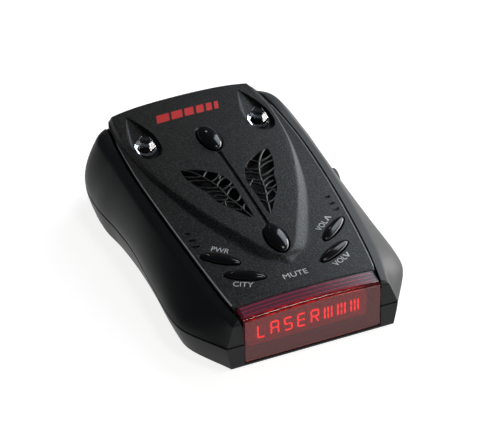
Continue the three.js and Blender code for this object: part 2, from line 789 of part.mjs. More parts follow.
const basketDepth = 4.2; // inside
const basketMouth = speakerRadius - 2.2;
const basketFoot = speakerRadius * 0.45;
const basketSide = (depth) => THREE.MathUtils.lerp(basketMouth, basketFoot, depth / basketDepth);
const speakerBasket = () =>
  speakerPart(
    lathe([
      [0, -5.2], [speakerRadius * 0.5, -5.2], [speakerRadius * 0.8, -1.2], [speakerRadius, -1.2],
      [speakerRadius, 0], [basketMouth, 0], [basketFoot, -basketDepth], [0, -basketDepth],
    ]),
  );

const coneRimDepth = 0.8;
const coneRadius = basketSide(coneRimDepth) - 2 * gap;
const speakerCone = () =>
  speakerPart(
    lathe([
      [0, -2.6], [2.6, -3.3], [coneRadius, -coneRimDepth],
      [coneRadius, -coneRimDepth + 0.5], [2.4, -2.7], [0, -1.9],
    ]),
  );

const speakerMagnet = () =>
  speakerPart(
    lathe([
      [0, -5.5 - 3.5], [speakerRadius * 0.5, -5.5 - 3.5], [speakerRadius * 0.5, -5.5], [0, -5.5],
    ]),
  );

// ---------- Receiver at the road-facing end ----------
const stackTop = deck(holderHalfWidth, length - 8) - panelThickness - 2 * gap - ledgeThickness;
const laserBoardTop = stackTop - holderHeight - gap;
const laserBoardLow = laserBoardTop - laserBoardThickness;
const hornTop = laserBoardLow - gap;
const hornMouth = length - hornFromRear;
const hornHalf = prismX - lampRadius - 2;
const laserHeight = stackTop - holderHeight / 2;

// A horn that widens in plan towards its open mouth.
function hornAntenna() {
  const prismOf = (front, rear, throat, mouth, low, high) =>
    slab(
      (u, v) => [(2 * u - 1) * THREE.MathUtils.lerp(throat, mouth, v), THREE.MathUtils.lerp(front, rear, v)],
      () => low,
      () => high,
      1,
      1,
    );
  const front = hornMouth - hornLength;
  const outer = prismOf(front, hornMouth, hornThroat, hornHalf, partsFloor, hornTop);
  const inner = prismOf(
    front + hornWall, hornMouth + 1, hornThroat - hornWall, hornHalf - hornWall,
    partsFloor + hornWall, hornTop - hornWall,
  );
  return cut(outer, [inner]);
}

const microwaveRear = hornMouth - hornLength - gap;
const microwaveTop = hornTop - coverThickness - gap;
const microwaveBlock = () =>
  box(
    [-hornHalf + 1, microwaveRear - microwaveLength, partsFloor],
    [hornHalf - 1, microwaveRear, microwaveTop],
  );
const microwaveCover = () =>
  box(
    [-hornHalf + 1, microwaveRear - microwaveLength, microwaveTop + gap],
    [hornHalf - 1, microwaveRear, hornTop],
  );
const laserBoard = () =>
  box(
    [-laserBoardHalfWidth, hornMouth - laserBoardLength, laserBoardLow],
    [laserBoardHalfWidth, hornMouth, laserBoardTop],
  );

const holderRear = rearWall(laserHeight) - wall - 2 * gap;
function laserHolder() {
  const block = box(
    [-holderHalfWidth, holderRear - holderLength, laserBoardTop + gap],
    [holderHalfWidth, holderRear, stackTop],
  );
  return cut(block, [bar('y', boreFloor, holderRear + 1, 0, laserHeight, lensBore)]);
}
const boreFloor = holderRear - holderLength + 1;
const laserDiode = () => bar('y', boreFloor + gap, boreFloor + 1.3, 0, laserHeight, lensBore - gap, 12);
const laserLens = () =>
  lathe([[0, 0], [lensBore - gap, 0], [lensBore - gap, 0.5], [0.9, 0.95], [0, 1.1]], 16)
    .rotateX(-Math.PI / 2)
    .translate(0, holderRear - 1.6, laserHeight);
const domeDiodeTop = deck(domeHalfWidth, domeY - domeHalfLength) - panelThickness - 2 - gap;
const domeDiode = () => rod(0, domeY, laserBoardTop + gap, domeDiodeTop, 1.6, 12);

function laserOpening(grow) {
  const half = holderHeight / 2 - 0.1 + grow;
  return box(
    [-holderHalfWidth - grow, rearWall(laserHeight) - wall - 1, laserHeight - half],
    [holderHalfWidth + grow, length + 1, laserHeight + half],
  );
}

function laserWindow() {
  const rear = rearWall(laserHeight) - 0.2;
  const half = holderHeight / 2 - 0.1;
  return box(
    [-holderHalfWidth, rear - laserWindowThickness, laserHeight - half],
    [holderHalfWidth, rear, laserHeight + half],
  );
}

// Flat seat on the rear wall with two slots, for the hooks of a windscreen bracket.
function bracketCuts() {
  const seatY = length - seatSink;
  const seat = box(
    [-seatHalfWidth, seatY, seatHeight - seatHalfHeight],
    [seatHalfWidth, length + 1, seatHeight + seatHalfHeight],
  );
  const slots = [-1, 1].map((side) => {
    const [a, b] = [side * slotInner, side * slotOuter];
    return box(
      [Math.min(a, b), seatY - 2 * wall, seatHeight - slotHalfHeight],
      [Math.max(a, b), length + 1, seatHeight + slotHalfHeight],
    );
  });
  return [seat, ...slots];
}

// ---------- Power socket, screws, label ----------
function powerSocket() {
  const body = box(
    [socketInner, socketY - socketHalfLength, partsFloor],
    [socketBodyEnd, socketY + socketHalfLength, socketTop],
  );
  const nose = bar('x', socketBodyEnd - 1, socketFace, socketY, socketHeight, socketNose, 20);
  const bore = bar('x', socketFace - socketDepth, socketFace + 1, socketY, socketHeight, socketBore, 20);
  return cut(join([body, nose]), [bore]);
}

const socketContact = () =>
  bar('x', socketFace - socketDepth + gap, socketFace - 1, socketY, socketHeight, socketPin, 12);

function caseScrew([x, y]) {
  const headTop = screwRecess + screwHeadHeight;
  const head = rod(x, y, screwRecess, headTop, screwHeadRadius, 16);
  const shank = rod(x, y, headTop - 0.5, seamHeight + screwGrip, screwRadius, 12);
  const cross = [
    box([x - 1.5, y - 0.3, screwRecess - 1], [x + 1.5, y + 0.3, screwRecess + 0.9]),
    box([x - 0.3, y - 1.5, screwRecess - 1], [x + 0.3, y + 1.5, screwRecess + 0.9]),
  ];
  return cut(join([head, shank]), cross);
}

function boardScrew([x, y]) {
  const head = rod(x, y, partsFloor, partsFloor + boardScrewHeadHeight, boardScrewHeadRadius, 14);
  return join([head, rod(x, y, floor + 0.5 + gap, partsFloor + 0.5, boardScrewRadius, 10)]);
}

const labelThickness = 0.3;
const labelRecess = (grow, low) =>
  box(
    [-16 - grow, length / 2 - 11 - grow, low],
    [16 + grow, length / 2 + 11 + grow, labelThickness + 0.1 + grow],
  );
const ratingLabel = () => labelRecess(0, 0.1);

const alertLamp = (side) =>
  lathe([
    [0, 0], [lampRadius, 0], [lampRadius, lampHeight - 2.5], [lampRadius * 0.8, lampHeight - 1],
    [0.9, lampHeight - 0.1], [0, lampHeight],
  ], 16).translate(side * prismX, prismY, partsFloor);

// ---------- Assembly ----------
const group = new THREE.Group();
const assembly = new THREE.Group();
assembly.position.y = -length / 2;
group.add(assembly);

function add(name, geometry, look) {
  const mesh = new THREE.Mesh(geometry, new THREE.MeshStandardMaterial(look));
  mesh.name = name;
  assembly.add(mesh);
}

add('upper_case', upperCase(), looks.satinBlack);
add('lower_case', lowerCase(), looks.satinBlack);
add('top_panel', topPanel(), looks.grainBlack);
add('display_window', displayWindow(), looks.redWindow);
add('sensor_dome', sensorDome(), looks.glossBlack);
add('left_prism', prism(-1), looks.clear);
add('right_prism', prism(1), looks.clear);
add('speaker_cloth', speakerCloth(), looks.cloth);
add('laser_window', laserWindow(), looks.glossBlack);

for (const [name, place] of Object.entries(buttons)) {
  add(`${name}_button`, buttonCap(place), looks.glossBlack);
  add(`${name}_switch_body`, switchBody(place), looks.partBlack);
  add(`${name}_switch_plunger`, switchPlunger(place), looks.white);
}

add('main_board', mainBoard(), looks.boardGreen);
add('display_board', displayBoard(), looks.boardGreen);
add('display_module_left', displayModule(-1), looks.moduleRed);
add('display_module_right', displayModule(1), looks.moduleRed);
add('display_header', onBoard(0, boardFront + 2, 16, 3.2, 2.5), looks.partBlack);
add('processor_chip', onBoard(-6, crystalY, 10, 10, 1.6), looks.partBlack);
add('clock_crystal', onBoard(crystalX, crystalY, 11, crystalDepth, 3.5), looks.metal);
const capacitor = rod(boardHalf - 5, capacitorY, partsFloor, partsFloor + 7, capacitorRadius, 16);
add('filter_capacitor', capacitor, looks.metal);
add('left_alert_lamp', alertLamp(-1), looks.clear);
add('right_alert_lamp', alertLamp(1), looks.clear);

add('speaker_basket', speakerBasket(), looks.partBlack);
add('speaker_cone', speakerCone(), looks.cone);
add('speaker_magnet', speakerMagnet(), looks.metal);

add('horn_antenna', hornAntenna(), looks.metal);
add('microwave_block', microwaveBlock(), looks.metal);
add('microwave_cover', microwaveCover(), looks.metal);
add('laser_board', laserBoard(), looks.boardGreen);
add('laser_holder', laserHolder(), looks.partBlack);
add('laser_diode', laserDiode(), looks.partBlack);
add('laser_lens', laserLens(), looks.clear);
add('dome_diode', domeDiode(), looks.clear);

add('power_socket', powerSocket(), looks.partBlack);
add('power_socket_pin', socketContact(), looks.metal);
const corners = ['front_left', 'front_right', 'rear_left', 'rear_right'];
corners.forEach((corner, i) => add(`case_screw_${corner}`, caseScrew(screwPlaces[i]), looks.metal));
corners.forEach((corner, i) => add(`board_screw_${corner}`, boardScrew(boardScrewPlaces[i]), looks.metal));
add('rating_label', ratingLabel(), looks.paper);

export default group;
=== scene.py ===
import bpy
import numpy as np
from mathutils import Matrix, Vector


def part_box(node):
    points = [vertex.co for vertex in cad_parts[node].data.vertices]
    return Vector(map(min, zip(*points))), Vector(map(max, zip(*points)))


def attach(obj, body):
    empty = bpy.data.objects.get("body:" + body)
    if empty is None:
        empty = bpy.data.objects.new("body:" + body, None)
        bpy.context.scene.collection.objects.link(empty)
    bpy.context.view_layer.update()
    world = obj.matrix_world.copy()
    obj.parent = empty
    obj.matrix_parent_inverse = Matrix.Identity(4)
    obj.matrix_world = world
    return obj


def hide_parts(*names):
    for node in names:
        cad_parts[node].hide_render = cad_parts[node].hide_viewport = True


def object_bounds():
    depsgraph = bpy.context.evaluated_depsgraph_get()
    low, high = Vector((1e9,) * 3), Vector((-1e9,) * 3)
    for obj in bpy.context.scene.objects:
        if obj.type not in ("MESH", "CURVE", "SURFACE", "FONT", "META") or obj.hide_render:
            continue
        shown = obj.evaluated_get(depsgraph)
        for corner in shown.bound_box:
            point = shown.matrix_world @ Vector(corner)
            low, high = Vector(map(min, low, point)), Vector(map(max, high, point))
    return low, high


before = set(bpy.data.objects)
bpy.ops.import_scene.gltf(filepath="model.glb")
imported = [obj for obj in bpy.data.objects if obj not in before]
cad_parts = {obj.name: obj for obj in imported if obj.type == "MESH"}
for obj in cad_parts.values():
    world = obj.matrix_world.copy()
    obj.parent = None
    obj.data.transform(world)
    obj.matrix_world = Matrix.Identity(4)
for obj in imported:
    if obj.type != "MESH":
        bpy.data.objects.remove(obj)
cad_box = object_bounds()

# ---- Upper case ------------------------------------------------------------------------------------------
# The satin black shell round the top panel, moulded in ABS in one piece: bowed side walls, a soft shoulder
# and a rail beside the panel. It closes on the lower case at a fine seam, held by four screws from below.

MM = 0.001  # shapes are worked out in millimetres, with y counted from the window's face
LENGTH = (cad_box[1].y - cad_box[0].y) / MM
HALF_WIDTH = cad_box[1].x / MM
MIDDLE = (0, LENGTH / 2)
FRONT_HEIGHT = 18
REAR_HEIGHT = 26.3
CROWN = 1.3
SEAM_HEIGHT = 8.5
SEAM_EDGE = 0.18
WALL = 2
GAP = 0.3
PANEL_THICKNESS = 2
GROOVE = 0.7
RAIL_WIDTH = 3.1
RAIL_SINK = 0.4
RAIL_FALL = 0.8
RAIL_CHAMFER = 0.3
LEDGE = 1
LEDGE_THICKNESS = 1.5
WINDOW_DEPTH = 6
WINDOW_SILL = 1.4


def through(*pairs):
    """A smooth curve through (position, value) pairs, as a function of position: a Catmull-Rom span between
    each two pairs, and the end values outside them."""
    knots = np.array(pairs, float)
    held = np.vstack([knots[:1], knots, knots[-1:]])
    a, b, c, d = (held[i : len(knots) - 1 + i, None] for i in range(4))
    t = np.linspace(0, 1, 24, endpoint=False)[None, :, None]
    span = b + 0.5 * t * (c - a + t * (2 * a - 5 * b + 4 * c - d + t * (3 * (b - c) + d - a)))
    samples = np.vstack([span.reshape(-1, 2), knots[-1:]])
    return lambda position: np.interp(position, samples[:, 0], samples[:, 1])


def mix(a, b, t):
    """The value a share t of the way from a to b."""
    return a + (b - a) * t


def smooth(t):
    """A smooth step: three times the square of t less twice its cube, held from 0 to 1."""
    t = np.clip(t, 0, 1)
    return t * t * (3 - 2 * t)


# Plans as [share of the half width, share of the length], from the front corner to the middle of the rear.
SEAM_PLAN = [
    (0.745, 0), (0.971, 0.132), (1, 0.2), (0.979, 0.345), (0.945, 0.536), (0.961, 0.655),
    (0.997, 0.782), (0.948, 0.909), (0.72, 0.979), (0.37, 0.996), (0, 1),
]
SHOULDER_PLAN = [
    (0.677, 0.007), (0.745, 0.132), (0.766, 0.2), (0.799, 0.345), (0.826, 0.545), (0.831, 0.664),
    (0.826, 0.782), (0.808, 0.923), (0.7, 0.957), (0.35, 0.975), (0, 0.98),
]
seam_share = through(*[(y, x) for x, y in SEAM_PLAN[:8]])
panel_share = through(
    (0, 0.586), (0.09, 0.63), (0.18, 0.659), (0.27, 0.682), (0.41, 0.711), (0.545, 0.729),
    (0.68, 0.737), (0.82, 0.72), (0.91, 0.693), (0.955, 0.68), (0.985, 0.655),
)


def panel_half(y):
    """Half the top panel's width at y: its share of the half width of the case."""
    return panel_share(y / LENGTH) * HALF_WIDTH


def deck(x, y):
    """Height of the top panel's margin: a parabola that climbs from the front height to the rear height, less
    a crown that falls with the square of x."""
    u = y / LENGTH
    climb = (REAR_HEIGHT - FRONT_HEIGHT) * (2.244 * u - 1.244 * u * u)
    return FRONT_HEIGHT + climb - CROWN * (x / (0.716 * HALF_WIDTH)) ** 2


def above(base, rise):
    """The height function that lies a distance above another."""
    return lambda x, y: base(x, y) + rise


def outline(plan, steps=14, ease=0.05):
    """Closed plan of the case, anticlockwise from the right front corner: a centripetal Catmull-Rom curve
    through the plan's points and their mirror images, then the straight front. The curve swells between its
    points, so they are eased in a little."""
    right = np.array(plan) * (HALF_WIDTH - ease, LENGTH)
    knots = np.vstack([right, right[-2::-1] * (-1, 1)])
    knots = np.vstack([2 * knots[0] - knots[1], knots, 2 * knots[-1] - knots[-2]])
    gaps = np.sqrt(np.linalg.norm(np.diff(knots, axis=0), axis=1))[:, None, None]
    before, here, there, after = (knots[i : len(knots) - 3 + i, None] for i in range(4))
    g0, g1, g2 = (gaps[i : len(gaps) - 2 + i] for i in range(3))
    leave = ((here - before) / g0 - (there - before) / (g0 + g1)) * g1 + there - here
    arrive = there - here + ((after - there) / g2 - (after - here) / (g1 + g2)) * g1
    t = (np.arange(steps) / steps)[None, :, None]
    curve = mix(here, there, smooth(t)) + leave * t * (1 - t) ** 2 - arrive * t * t * (1 - t)
    across = np.linspace(-1, 1, steps + 1)[:-1, None] * (right[0, 0], 0) + (0, right[0, 1])
    return np.vstack([curve.reshape(-1, 2), across])


def inset(ring, distance):
    """A closed plan moved inwards by a distance, each corner along the line that halves its angle."""
    edge = ring - np.roll(ring, 1, 0)
    before = edge / np.linalg.norm(edge, axis=1)[:, None]
    after = np.roll(before, -1, 0)
    share = distance / (1 + (before * after).sum(1))
    return ring + (before + after)[:, ::-1] * (-1, 1) * share[:, None]


def raised(ring, height):
    """A plan as points at a height, which may be a number or a function of x and y."""
    level = height(ring[:, 0], ring[:, 1]) if callable(height) else np.full(len(ring), height)
    return np.column_stack([ring, level])


def link(name, data):
    """A new object in the scene."""
    shape = bpy.data.objects.new(name, data)
    bpy.context.scene.collection.objects.link(shape)
    return shape


def solid(name, points, *faces):
    """A mesh object from points in millimetres and arrays of faces, with the middle of the length moved to
    the origin."""
    mesh = bpy.data.meshes.new(name)
    rows = [row for group in faces for row in group.tolist()]
    mesh.from_pydata(((np.asarray(points) - (*MIDDLE, 0)) * MM).tolist(), [], rows)
    mesh.update()
    return link(name, mesh)


def bands(loops):
    """Quads between each loop of point numbers and the next."""
    return [np.stack([a, np.roll(a, -1), np.roll(b, -1), b], -1) for a, b in zip(loops, loops[1:])]


def loft(name, rings, low_middle=None, high_middle=None):
    """A closed solid through rings of equally many points, each anticlockwise from above and the lowest
    first. Both ends are fans round a middle point, by default the mean of their ring."""
    rings = np.array(rings)
    low = rings[0].mean(0) if low_middle is None else low_middle
    high = rings[-1].mean(0) if high_middle is None else high_middle
    number = np.arange(rings[..., 0].size).reshape(len(rings), -1)
    first, last = number[0], number[-1]
    foot = np.column_stack([0 * first + number.size, np.roll(first, -1), first])
    cap = np.column_stack([0 * last + number.size + 1, last, np.roll(last, -1)])
    return solid(name, np.vstack([rings.reshape(-1, 3), [low, high]]), *bands(number), foot, cap)


def block(name, layers):
    """A closed solid from grids of points of one size, with x to the right along each row and rows to the
    rear. The first grid is its underside, the last its top, and walls join the rims of all of them."""
    number = np.arange(layers[0][..., 0].size).reshape(layers[0].shape[:2])
    rim = np.concatenate([number[0, :-1], number[:-1, -1], number[-1, :0:-1], number[:0:-1, 0]])
    cells = np.stack([number[:-1, :-1], number[:-1, 1:], number[1:, 1:], number[1:, :-1]], -1).reshape(-1, 4)
    points, loops, first = [layers[0].reshape(-1, 3)], [rim], number.size
    for layer in layers[1:-1]:
        points.append(layer.reshape(-1, 3)[rim])
        loops.append(first + np.arange(len(rim)))
        first += len(rim)
    points.append(layers[-1].reshape(-1, 3))
    loops.append(first + rim)
    return solid(name, np.vstack(points), cells[:, ::-1], cells + first, *bands(loops))


def slab(name, plan, heights, columns, rows):
    """A block over a plan grid: plan(u, v, grow) gives x and y for u and v from 0 to 1, and each layer is the
    growth of the plan with a height function. Columns and rows are a count or the places themselves."""
    u, v = np.meshgrid(*(np.linspace(0, 1, n) if np.isscalar(n) else n for n in (columns, rows)))
    layers = []
    for grow, height in heights:
        x, y = plan(u, v, grow)
        layers.append(np.stack([x, y, height(x, y) + 0 * x], -1))
    return block(name, layers)


def settle(shape):
    """Makes the shape's modifiers part of its mesh."""
    state = bpy.context.evaluated_depsgraph_get()
    mesh = bpy.data.meshes.new_from_object(shape.evaluated_get(state))
    shape.modifiers.clear()
    shape.data = mesh


def carve(shape, cutters, operation="DIFFERENCE"):
    """Takes closed cutters away from a shape, or joins them to it, and removes them."""
    for cutter in cutters:
        modifier = shape.modifiers.new("carve", "BOOLEAN")
        modifier.operation = operation
        modifier.solver = "MANIFOLD"
        modifier.object = cutter
    settle(shape)
    for cutter in cutters:
        bpy.data.objects.remove(cutter)


def dress(shape, material, crisp=28):
    """Gives a shape its material and its shading: smooth, but crisp at edges sharper than an angle."""
    shape.data.materials.clear()
    shape.data.materials.append(material)
    shape.data.shade_smooth()
    shape.data.set_sharp_from_angle(angle=np.radians(crisp))
    return shape


def fit(shape, slot, *nodes, body="root"):
    """Rides a finished shape on its body and lets it stand for CAD nodes, which it hides. The slot is not
    used.
    """
    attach(shape, body)
    if nodes:
        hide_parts(*nodes)


def extent(node):
    """Two corners of a CAD node's box, in millimetres and with y from the window's face."""
    return [corner / MM + Vector((*MIDDLE, 0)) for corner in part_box(node)]


def circle(sides):
    """Cosines and sines of equal steps once round."""
    phase = np.linspace(0, 2 * np.pi, sides, endpoint=False)
    return np.cos(phase), np.sin(phase)


def post(x, y, low, high, radius):
    """An upright cylinder."""
    ring = np.column_stack(circle(32)) * radius + (x, y)
    return loft("post", [raised(ring, z) for z in (low, high)])


def rod(start, end, y, z, radius):
    """A cylinder along x."""
    c, s = circle(40)
    return loft("rod", [np.column_stack([0 * c + x, y + radius * c, z + radius * s]) for x in (start, end)])


def box(low, high):
    """A box between two corners."""
    x, y = np.meshgrid([low[0], high[0]], [low[1], high[1]])
    return block("box", [np.stack([x, y, 0 * x + z], -1) for z in (low[2], high[2])])


class Socket:
    """One output in a material's node tree. Arithmetic on it adds Math nodes, and node() adds any other."""

    def __init__(self, tree, output=None):
        self.tree = tree
        self.output = output

    def node(self, kind, settings=None, inputs=None, output=0):
        """Adds a node of a type: its settings first, then the values or links of its inputs."""
        made = self.tree.nodes.new("ShaderNode" + kind)
        for name, value in (settings or {}).items():
            setattr(made, name, value)
        for name, value in (inputs or {}).items():
            if isinstance(value, Socket):
                self.tree.links.new(value.output, made.inputs[name])
            else:
                made.inputs[name].default_value = value
        return Socket(self.tree, made.outputs[output])

    def math(self, operation, *values):
        return self.node("Math", {"operation": operation}, dict(enumerate(values)))

    def __add__(self, other):
        return self.math("ADD", self, other)

    def __sub__(self, other):
        return self.math("SUBTRACT", self, other)

    def __rsub__(self, other):
        return self.math("SUBTRACT", other, self)

    def __mul__(self, other):
        return self.math("MULTIPLY", self, other)

    __radd__ = __add__
    __rmul__ = __mul__

    def over(self, low, high):
        """0 below the low value, 1 above the high one, and smooth between."""
        ends = {"Value": self, "From Min": low, "From Max": high}
        return self.node("MapRange", {"interpolation_type": "SMOOTHSTEP"}, ends)

    def tint(self, first, second):
        """The first colour where this is 0 and the second where it is 1. Each is numbers or a Socket."""
        ends = [end if isinstance(end, Socket) else (*end, 1) for end in (first, second)]
        return self.node("Mix", {"data_type": "RGBA"}, {"Factor": self, 6: ends[0], 7: ends[1]}, 2)


def finish(name, constants, varying=None):
    """A Principled material: constants go on the shader's own sockets, and varying(place), where place is the
    Object coordinate, gives the sockets that change over the surface."""
    material = bpy.data.materials.new(name)
    material.use_nodes = True
    tree = material.node_tree
    shader = tree.nodes["Principled BSDF"]
    for socket, value in constants.items():
        shader.inputs[socket].default_value = value
    if varying:
        place = Socket(tree).node("TexCoord", output="Object")
        for socket, value in varying(place).items():
            tree.links.new(value.output, shader.inputs[socket])
    return material


def noise(place, size, detail=2.0, roughness=0.5):
    """Noise from 0 to 1 with features of a size in millimetres."""
    inputs = {"Vector": place, "Scale": 1 / (size * MM), "Detail": detail, "Roughness": roughness}
    return place.node("TexNoise", None, inputs)


def relief(height, depth):
    """A bump of a depth in millimetres."""
    return height.node("Bump", None, {"Height": height, "Distance": depth * MM, "Strength": 1.0})


def satin_case(place):
    """Spark-eroded satin: a fine even grain, a broad faint change of polish, and a little dust."""
    grain = noise(place, 0.16, 3)
    return {
        "Base Color": noise(place, 0.5).over(0.55, 0.8).tint((0.0105, 0.011, 0.012), (0.017, 0.0175, 0.018)),
        "Roughness": 0.36 + 0.1 * noise(place, 14) + 0.06 * grain,
        "Normal": relief(grain, 0.012),
    }


case_finish = finish("satin_black", {"Specular IOR Level": 0.18}, satin_case)
seam_ring = outline(SEAM_PLAN)
shoulder_ring = outline(SHOULDER_PLAN)
rail_top = above(deck, -RAIL_SINK)
shoulder_top = above(rail_top, -RAIL_FALL)


def wall_ring(t, inward, low, high):
    """The side wall at a share t from the seam to the shoulder: a straight blend of the two plans, bowed
    outwards by a parabola in t that grows from nothing at the front."""
    plan = mix(seam_ring, shoulder_ring, t)
    bow = 1 + 0.05 * 4 * t * (1 - t) * smooth(plan[:, 1] / 14)
    plan = inset(plan * np.column_stack([bow, 0 * bow + 1]), inward)
    return raised(plan, lambda x, y: mix(low, high(x, y), t))


def upper_outside(low):
    """Rings of the outside: a broken edge at the seam, the bowed wall, a rounded shoulder and the rail."""
    wall = [wall_ring(t, 0, low, shoulder_top) for t in np.linspace(0, 0.94, 12)]
    foot = wall_ring(0, SEAM_EDGE, low, shoulder_top)
    wall[0][:, 2] += SEAM_EDGE
    edge = wall_ring(1, 0, low, shoulder_top)
    inner = raised(inset(shoulder_ring, RAIL_WIDTH), rail_top)
    rail = mix(edge, inner, 0.24)
    rounded = [mix(mix(wall[-1], edge, t), mix(edge, rail, t), t) for t in np.linspace(0, 1, 6)[1:]]
    return [foot, *wall, *rounded, inner]


BOSS_RADIUS = 3.2
BOSS_INSET = 8
BORE_RADIUS = 1.25
SCREW_PLACES = [
    (side * (seam_share(y / LENGTH) * HALF_WIDTH - BOSS_INSET), y)
    for y in (13, LENGTH - 18)
    for side in (-1, 1)
]
WINDOW_HALF = panel_half(0)
SOCKET_Z = 12.7
SOCKET_RADIUS = 3.8
BRACKET_Z = 12.8
SEAT_HALF = (20, 2.6)
SLOT_HALF = (3.5, 0.9)


def window_cut():
    """The opening for the window in both case halves."""
    half = WINDOW_HALF + GAP
    return box((-half, -WALL, WINDOW_SILL - GAP), (half, WINDOW_DEPTH + GAP, 2 * FRONT_HEIGHT))


def panel_plan(front, rear):
    """Plan of the panel between two places on the length, as a function of u, v and the growth sideways."""

    def plan(u, v, grow):
        y = mix(front, rear, v)
        return (2 * u - 1) * (panel_half(y) + grow), y

    return plan


def upper_case():
    """The shell: outside less cavity, with screw bosses, the panel's pocket and well, and the openings."""
    low = SEAM_HEIGHT + GAP / 2
    bed = above(deck, -PANEL_THICKNESS - GAP)
    ceiling = above(bed, -LEDGE_THICKNESS)
    shell, limit = (
        loft(name, upper_outside(low), (*MIDDLE, low), (*MIDDLE, rail_top(*MIDDLE)))
        for name in ("upper_case_shell", "limit")
    )
    inside = [raised(inset(seam_ring, WALL), low - WALL)]
    inside += [wall_ring(t, WALL, low, ceiling) for t in np.linspace(0, 1, 8)]
    carve(shell, [loft("cavity", inside, (*MIDDLE, low - WALL), (*MIDDLE, ceiling(*MIDDLE)))])
    bosses, *others = [post(x, y, low + 0.01, ceiling(x, y) + 1, BOSS_RADIUS) for x, y in SCREW_PLACES]
    carve(bosses, others, "UNION")
    carve(bosses, [limit], "INTERSECT")
    carve(shell, [bosses], "UNION")

    wide = GROOVE + 2 * RAIL_CHAMFER
    pocket_walls = [
        (GROOVE, bed), (GROOVE, above(rail_top, -RAIL_CHAMFER)), (wide, above(rail_top, RAIL_CHAMFER)),
        (wide, above(deck, 8)),
    ]
    pocket = slab("pocket", panel_plan(-WALL, LENGTH + WALL), pocket_walls, 9, 120)
    well_plan = panel_plan(WINDOW_DEPTH + GAP + LEDGE, LENGTH - 6)
    well = slab("well", well_plan, [(-LEDGE, above(deck, -12)), (-LEDGE, deck)], 5, 120)
    bores = [post(x, y, low - 1, low + 7, BORE_RADIUS + GAP) for x, y in SCREW_PLACES]
    nose_low, nose_high = extent("power_socket")
    nose_y = (nose_low.y + nose_high.y) / 2
    socket = rod(nose_high.x - 8, HALF_WIDTH + 4, nose_y, SOCKET_Z, SOCKET_RADIUS + GAP)
    lens_low, lens_high = extent("laser_window")
    lens = box(
        (lens_low.x - GAP, lens_low.y - 2, lens_low.z - GAP),
        (lens_high.x + GAP, LENGTH + 1, lens_high.z + GAP),
    )
    half, rise = SEAT_HALF
    seat = box((-half, LENGTH - 1, BRACKET_Z - rise), (half, LENGTH + 1, BRACKET_Z + rise))
    broad, rise = SLOT_HALF
    slots = [
        box((x - broad, LENGTH - 1 - 2 * WALL, BRACKET_Z - rise), (x + broad, LENGTH + 1, BRACKET_Z + rise))
        for x in (-12.5, 12.5)
    ]
    carve(shell, [pocket, well, *bores, window_cut(), socket, lens, seat, *slots])
    return dress(shell, case_finish)


fit(upper_case(), "case", "upper_case")

# ---- Lower case ------------------------------------------------------------------------------------------
# The tray under the seam, of the same satin ABS: it leans out from a smaller foot, and carries the screw
# bosses, the board's posts and a recess for the label. Its front lip passes under the window.

BOTTOM_PLAN = [
    (0.711, 0), (0.919, 0.136), (0.935, 0.209), (0.911, 0.345), (0.896, 0.527), (0.914, 0.655),
    (0.951, 0.764), (0.901, 0.895), (0.677, 0.971), (0.35, 0.987), (0, 0.991),
]
BOTTOM_ROUND = 0.7
FLOOR = 2
HEAD_ROOM = 3.5
HEAD_RADIUS = 2.8
SHANK_RADIUS = 1.7
TRAY_BOSS_RADIUS = 4.3
BOARD_POST_TOP = 6.2
BOARD_POST_RADIUS = 3
BOARD_SCREW_RADIUS = 1.2
LABEL_HALF = (16.3, 11.3)
LABEL_RECESS = 0.7
CORNERS = ("front_left", "front_right", "rear_left", "rear_right")


def lower_case():
    """The tray: a loft from the foot, with a rounded lower edge, out to the seam, less its cavity."""
    high = SEAM_HEIGHT - GAP / 2
    foot = outline(BOTTOM_PLAN)
    rings = [
        raised(inset(foot, BOTTOM_ROUND * (1 - np.sin(a))), BOTTOM_ROUND * (1 - np.cos(a)))
        for a in np.linspace(0, np.pi / 2, 6)
    ]
    rings += [
        raised(mix(foot, seam_ring, 1 - (1 - t) ** 1.3), mix(BOTTOM_ROUND, high - SEAM_EDGE, t))
        for t in np.linspace(0, 1, 7)[1:]
    ]
    rings.append(raised(inset(seam_ring, SEAM_EDGE), high))
    shell = loft("lower_case_shell", rings, (*MIDDLE, 0), (*MIDDLE, high))
    inside = [raised(inset(foot, WALL), FLOOR), raised(inset(seam_ring, WALL), high + 1)]
    carve(shell, [loft("cavity", inside, (*MIDDLE, FLOOR), (*MIDDLE, high + 1))])
    board_screws = [sum(extent("board_screw_" + corner), Vector()) / 2 for corner in CORNERS]
    posts = [post(at.x, at.y, FLOOR - 0.5, BOARD_POST_TOP, BOARD_POST_RADIUS) for at in board_screws]
    bosses = [post(x, y, 0.5, high - 0.01, TRAY_BOSS_RADIUS) for x, y in SCREW_PLACES]
    carve(shell, posts + bosses, "UNION")
    holes = [post(x, y, -1, HEAD_ROOM, HEAD_RADIUS + GAP) for x, y in SCREW_PLACES]
    holes += [post(x, y, 0, high + 1, SHANK_RADIUS) for x, y in SCREW_PLACES]
    holes += [post(at.x, at.y, FLOOR + 0.5, 8, BOARD_SCREW_RADIUS) for at in board_screws]
    label = box((*np.subtract(MIDDLE, LABEL_HALF), -1), (*np.add(MIDDLE, LABEL_HALF), LABEL_RECESS))
    carve(shell, [*holes, window_cut(), label])
    return dress(shell, case_finish)


fit(lower_case(), "case", "lower_case")

# ---- Top panel -------------------------------------------------------------------------------------------
# A separate moulding of grained black ABS, dropped in between the rails: a raised V field, holes for the
# buttons and the dome, a groove that joins them, two ribbed wings for the sound and two teardrop hollows.

FIELD_RISE = 1.2
field_share = through(
    (0.142, -0.14), (0.178, -0.03), (0.19, 0.08), (0.218, 0.18), (0.273, 0.3), (0.364, 0.48),
    (0.455, 0.627), (0.545, 0.736), (0.636, 0.82), (0.727, 0.875), (0.864, 0.93), (1, 0.93),
)


def rim_width(y):
    """Breadth of the slope round the raised field: 3.7 mm at the front and 1 mm at the rear."""
    return mix(3.7, 1, smooth((y / LENGTH - 0.25) / 0.45))


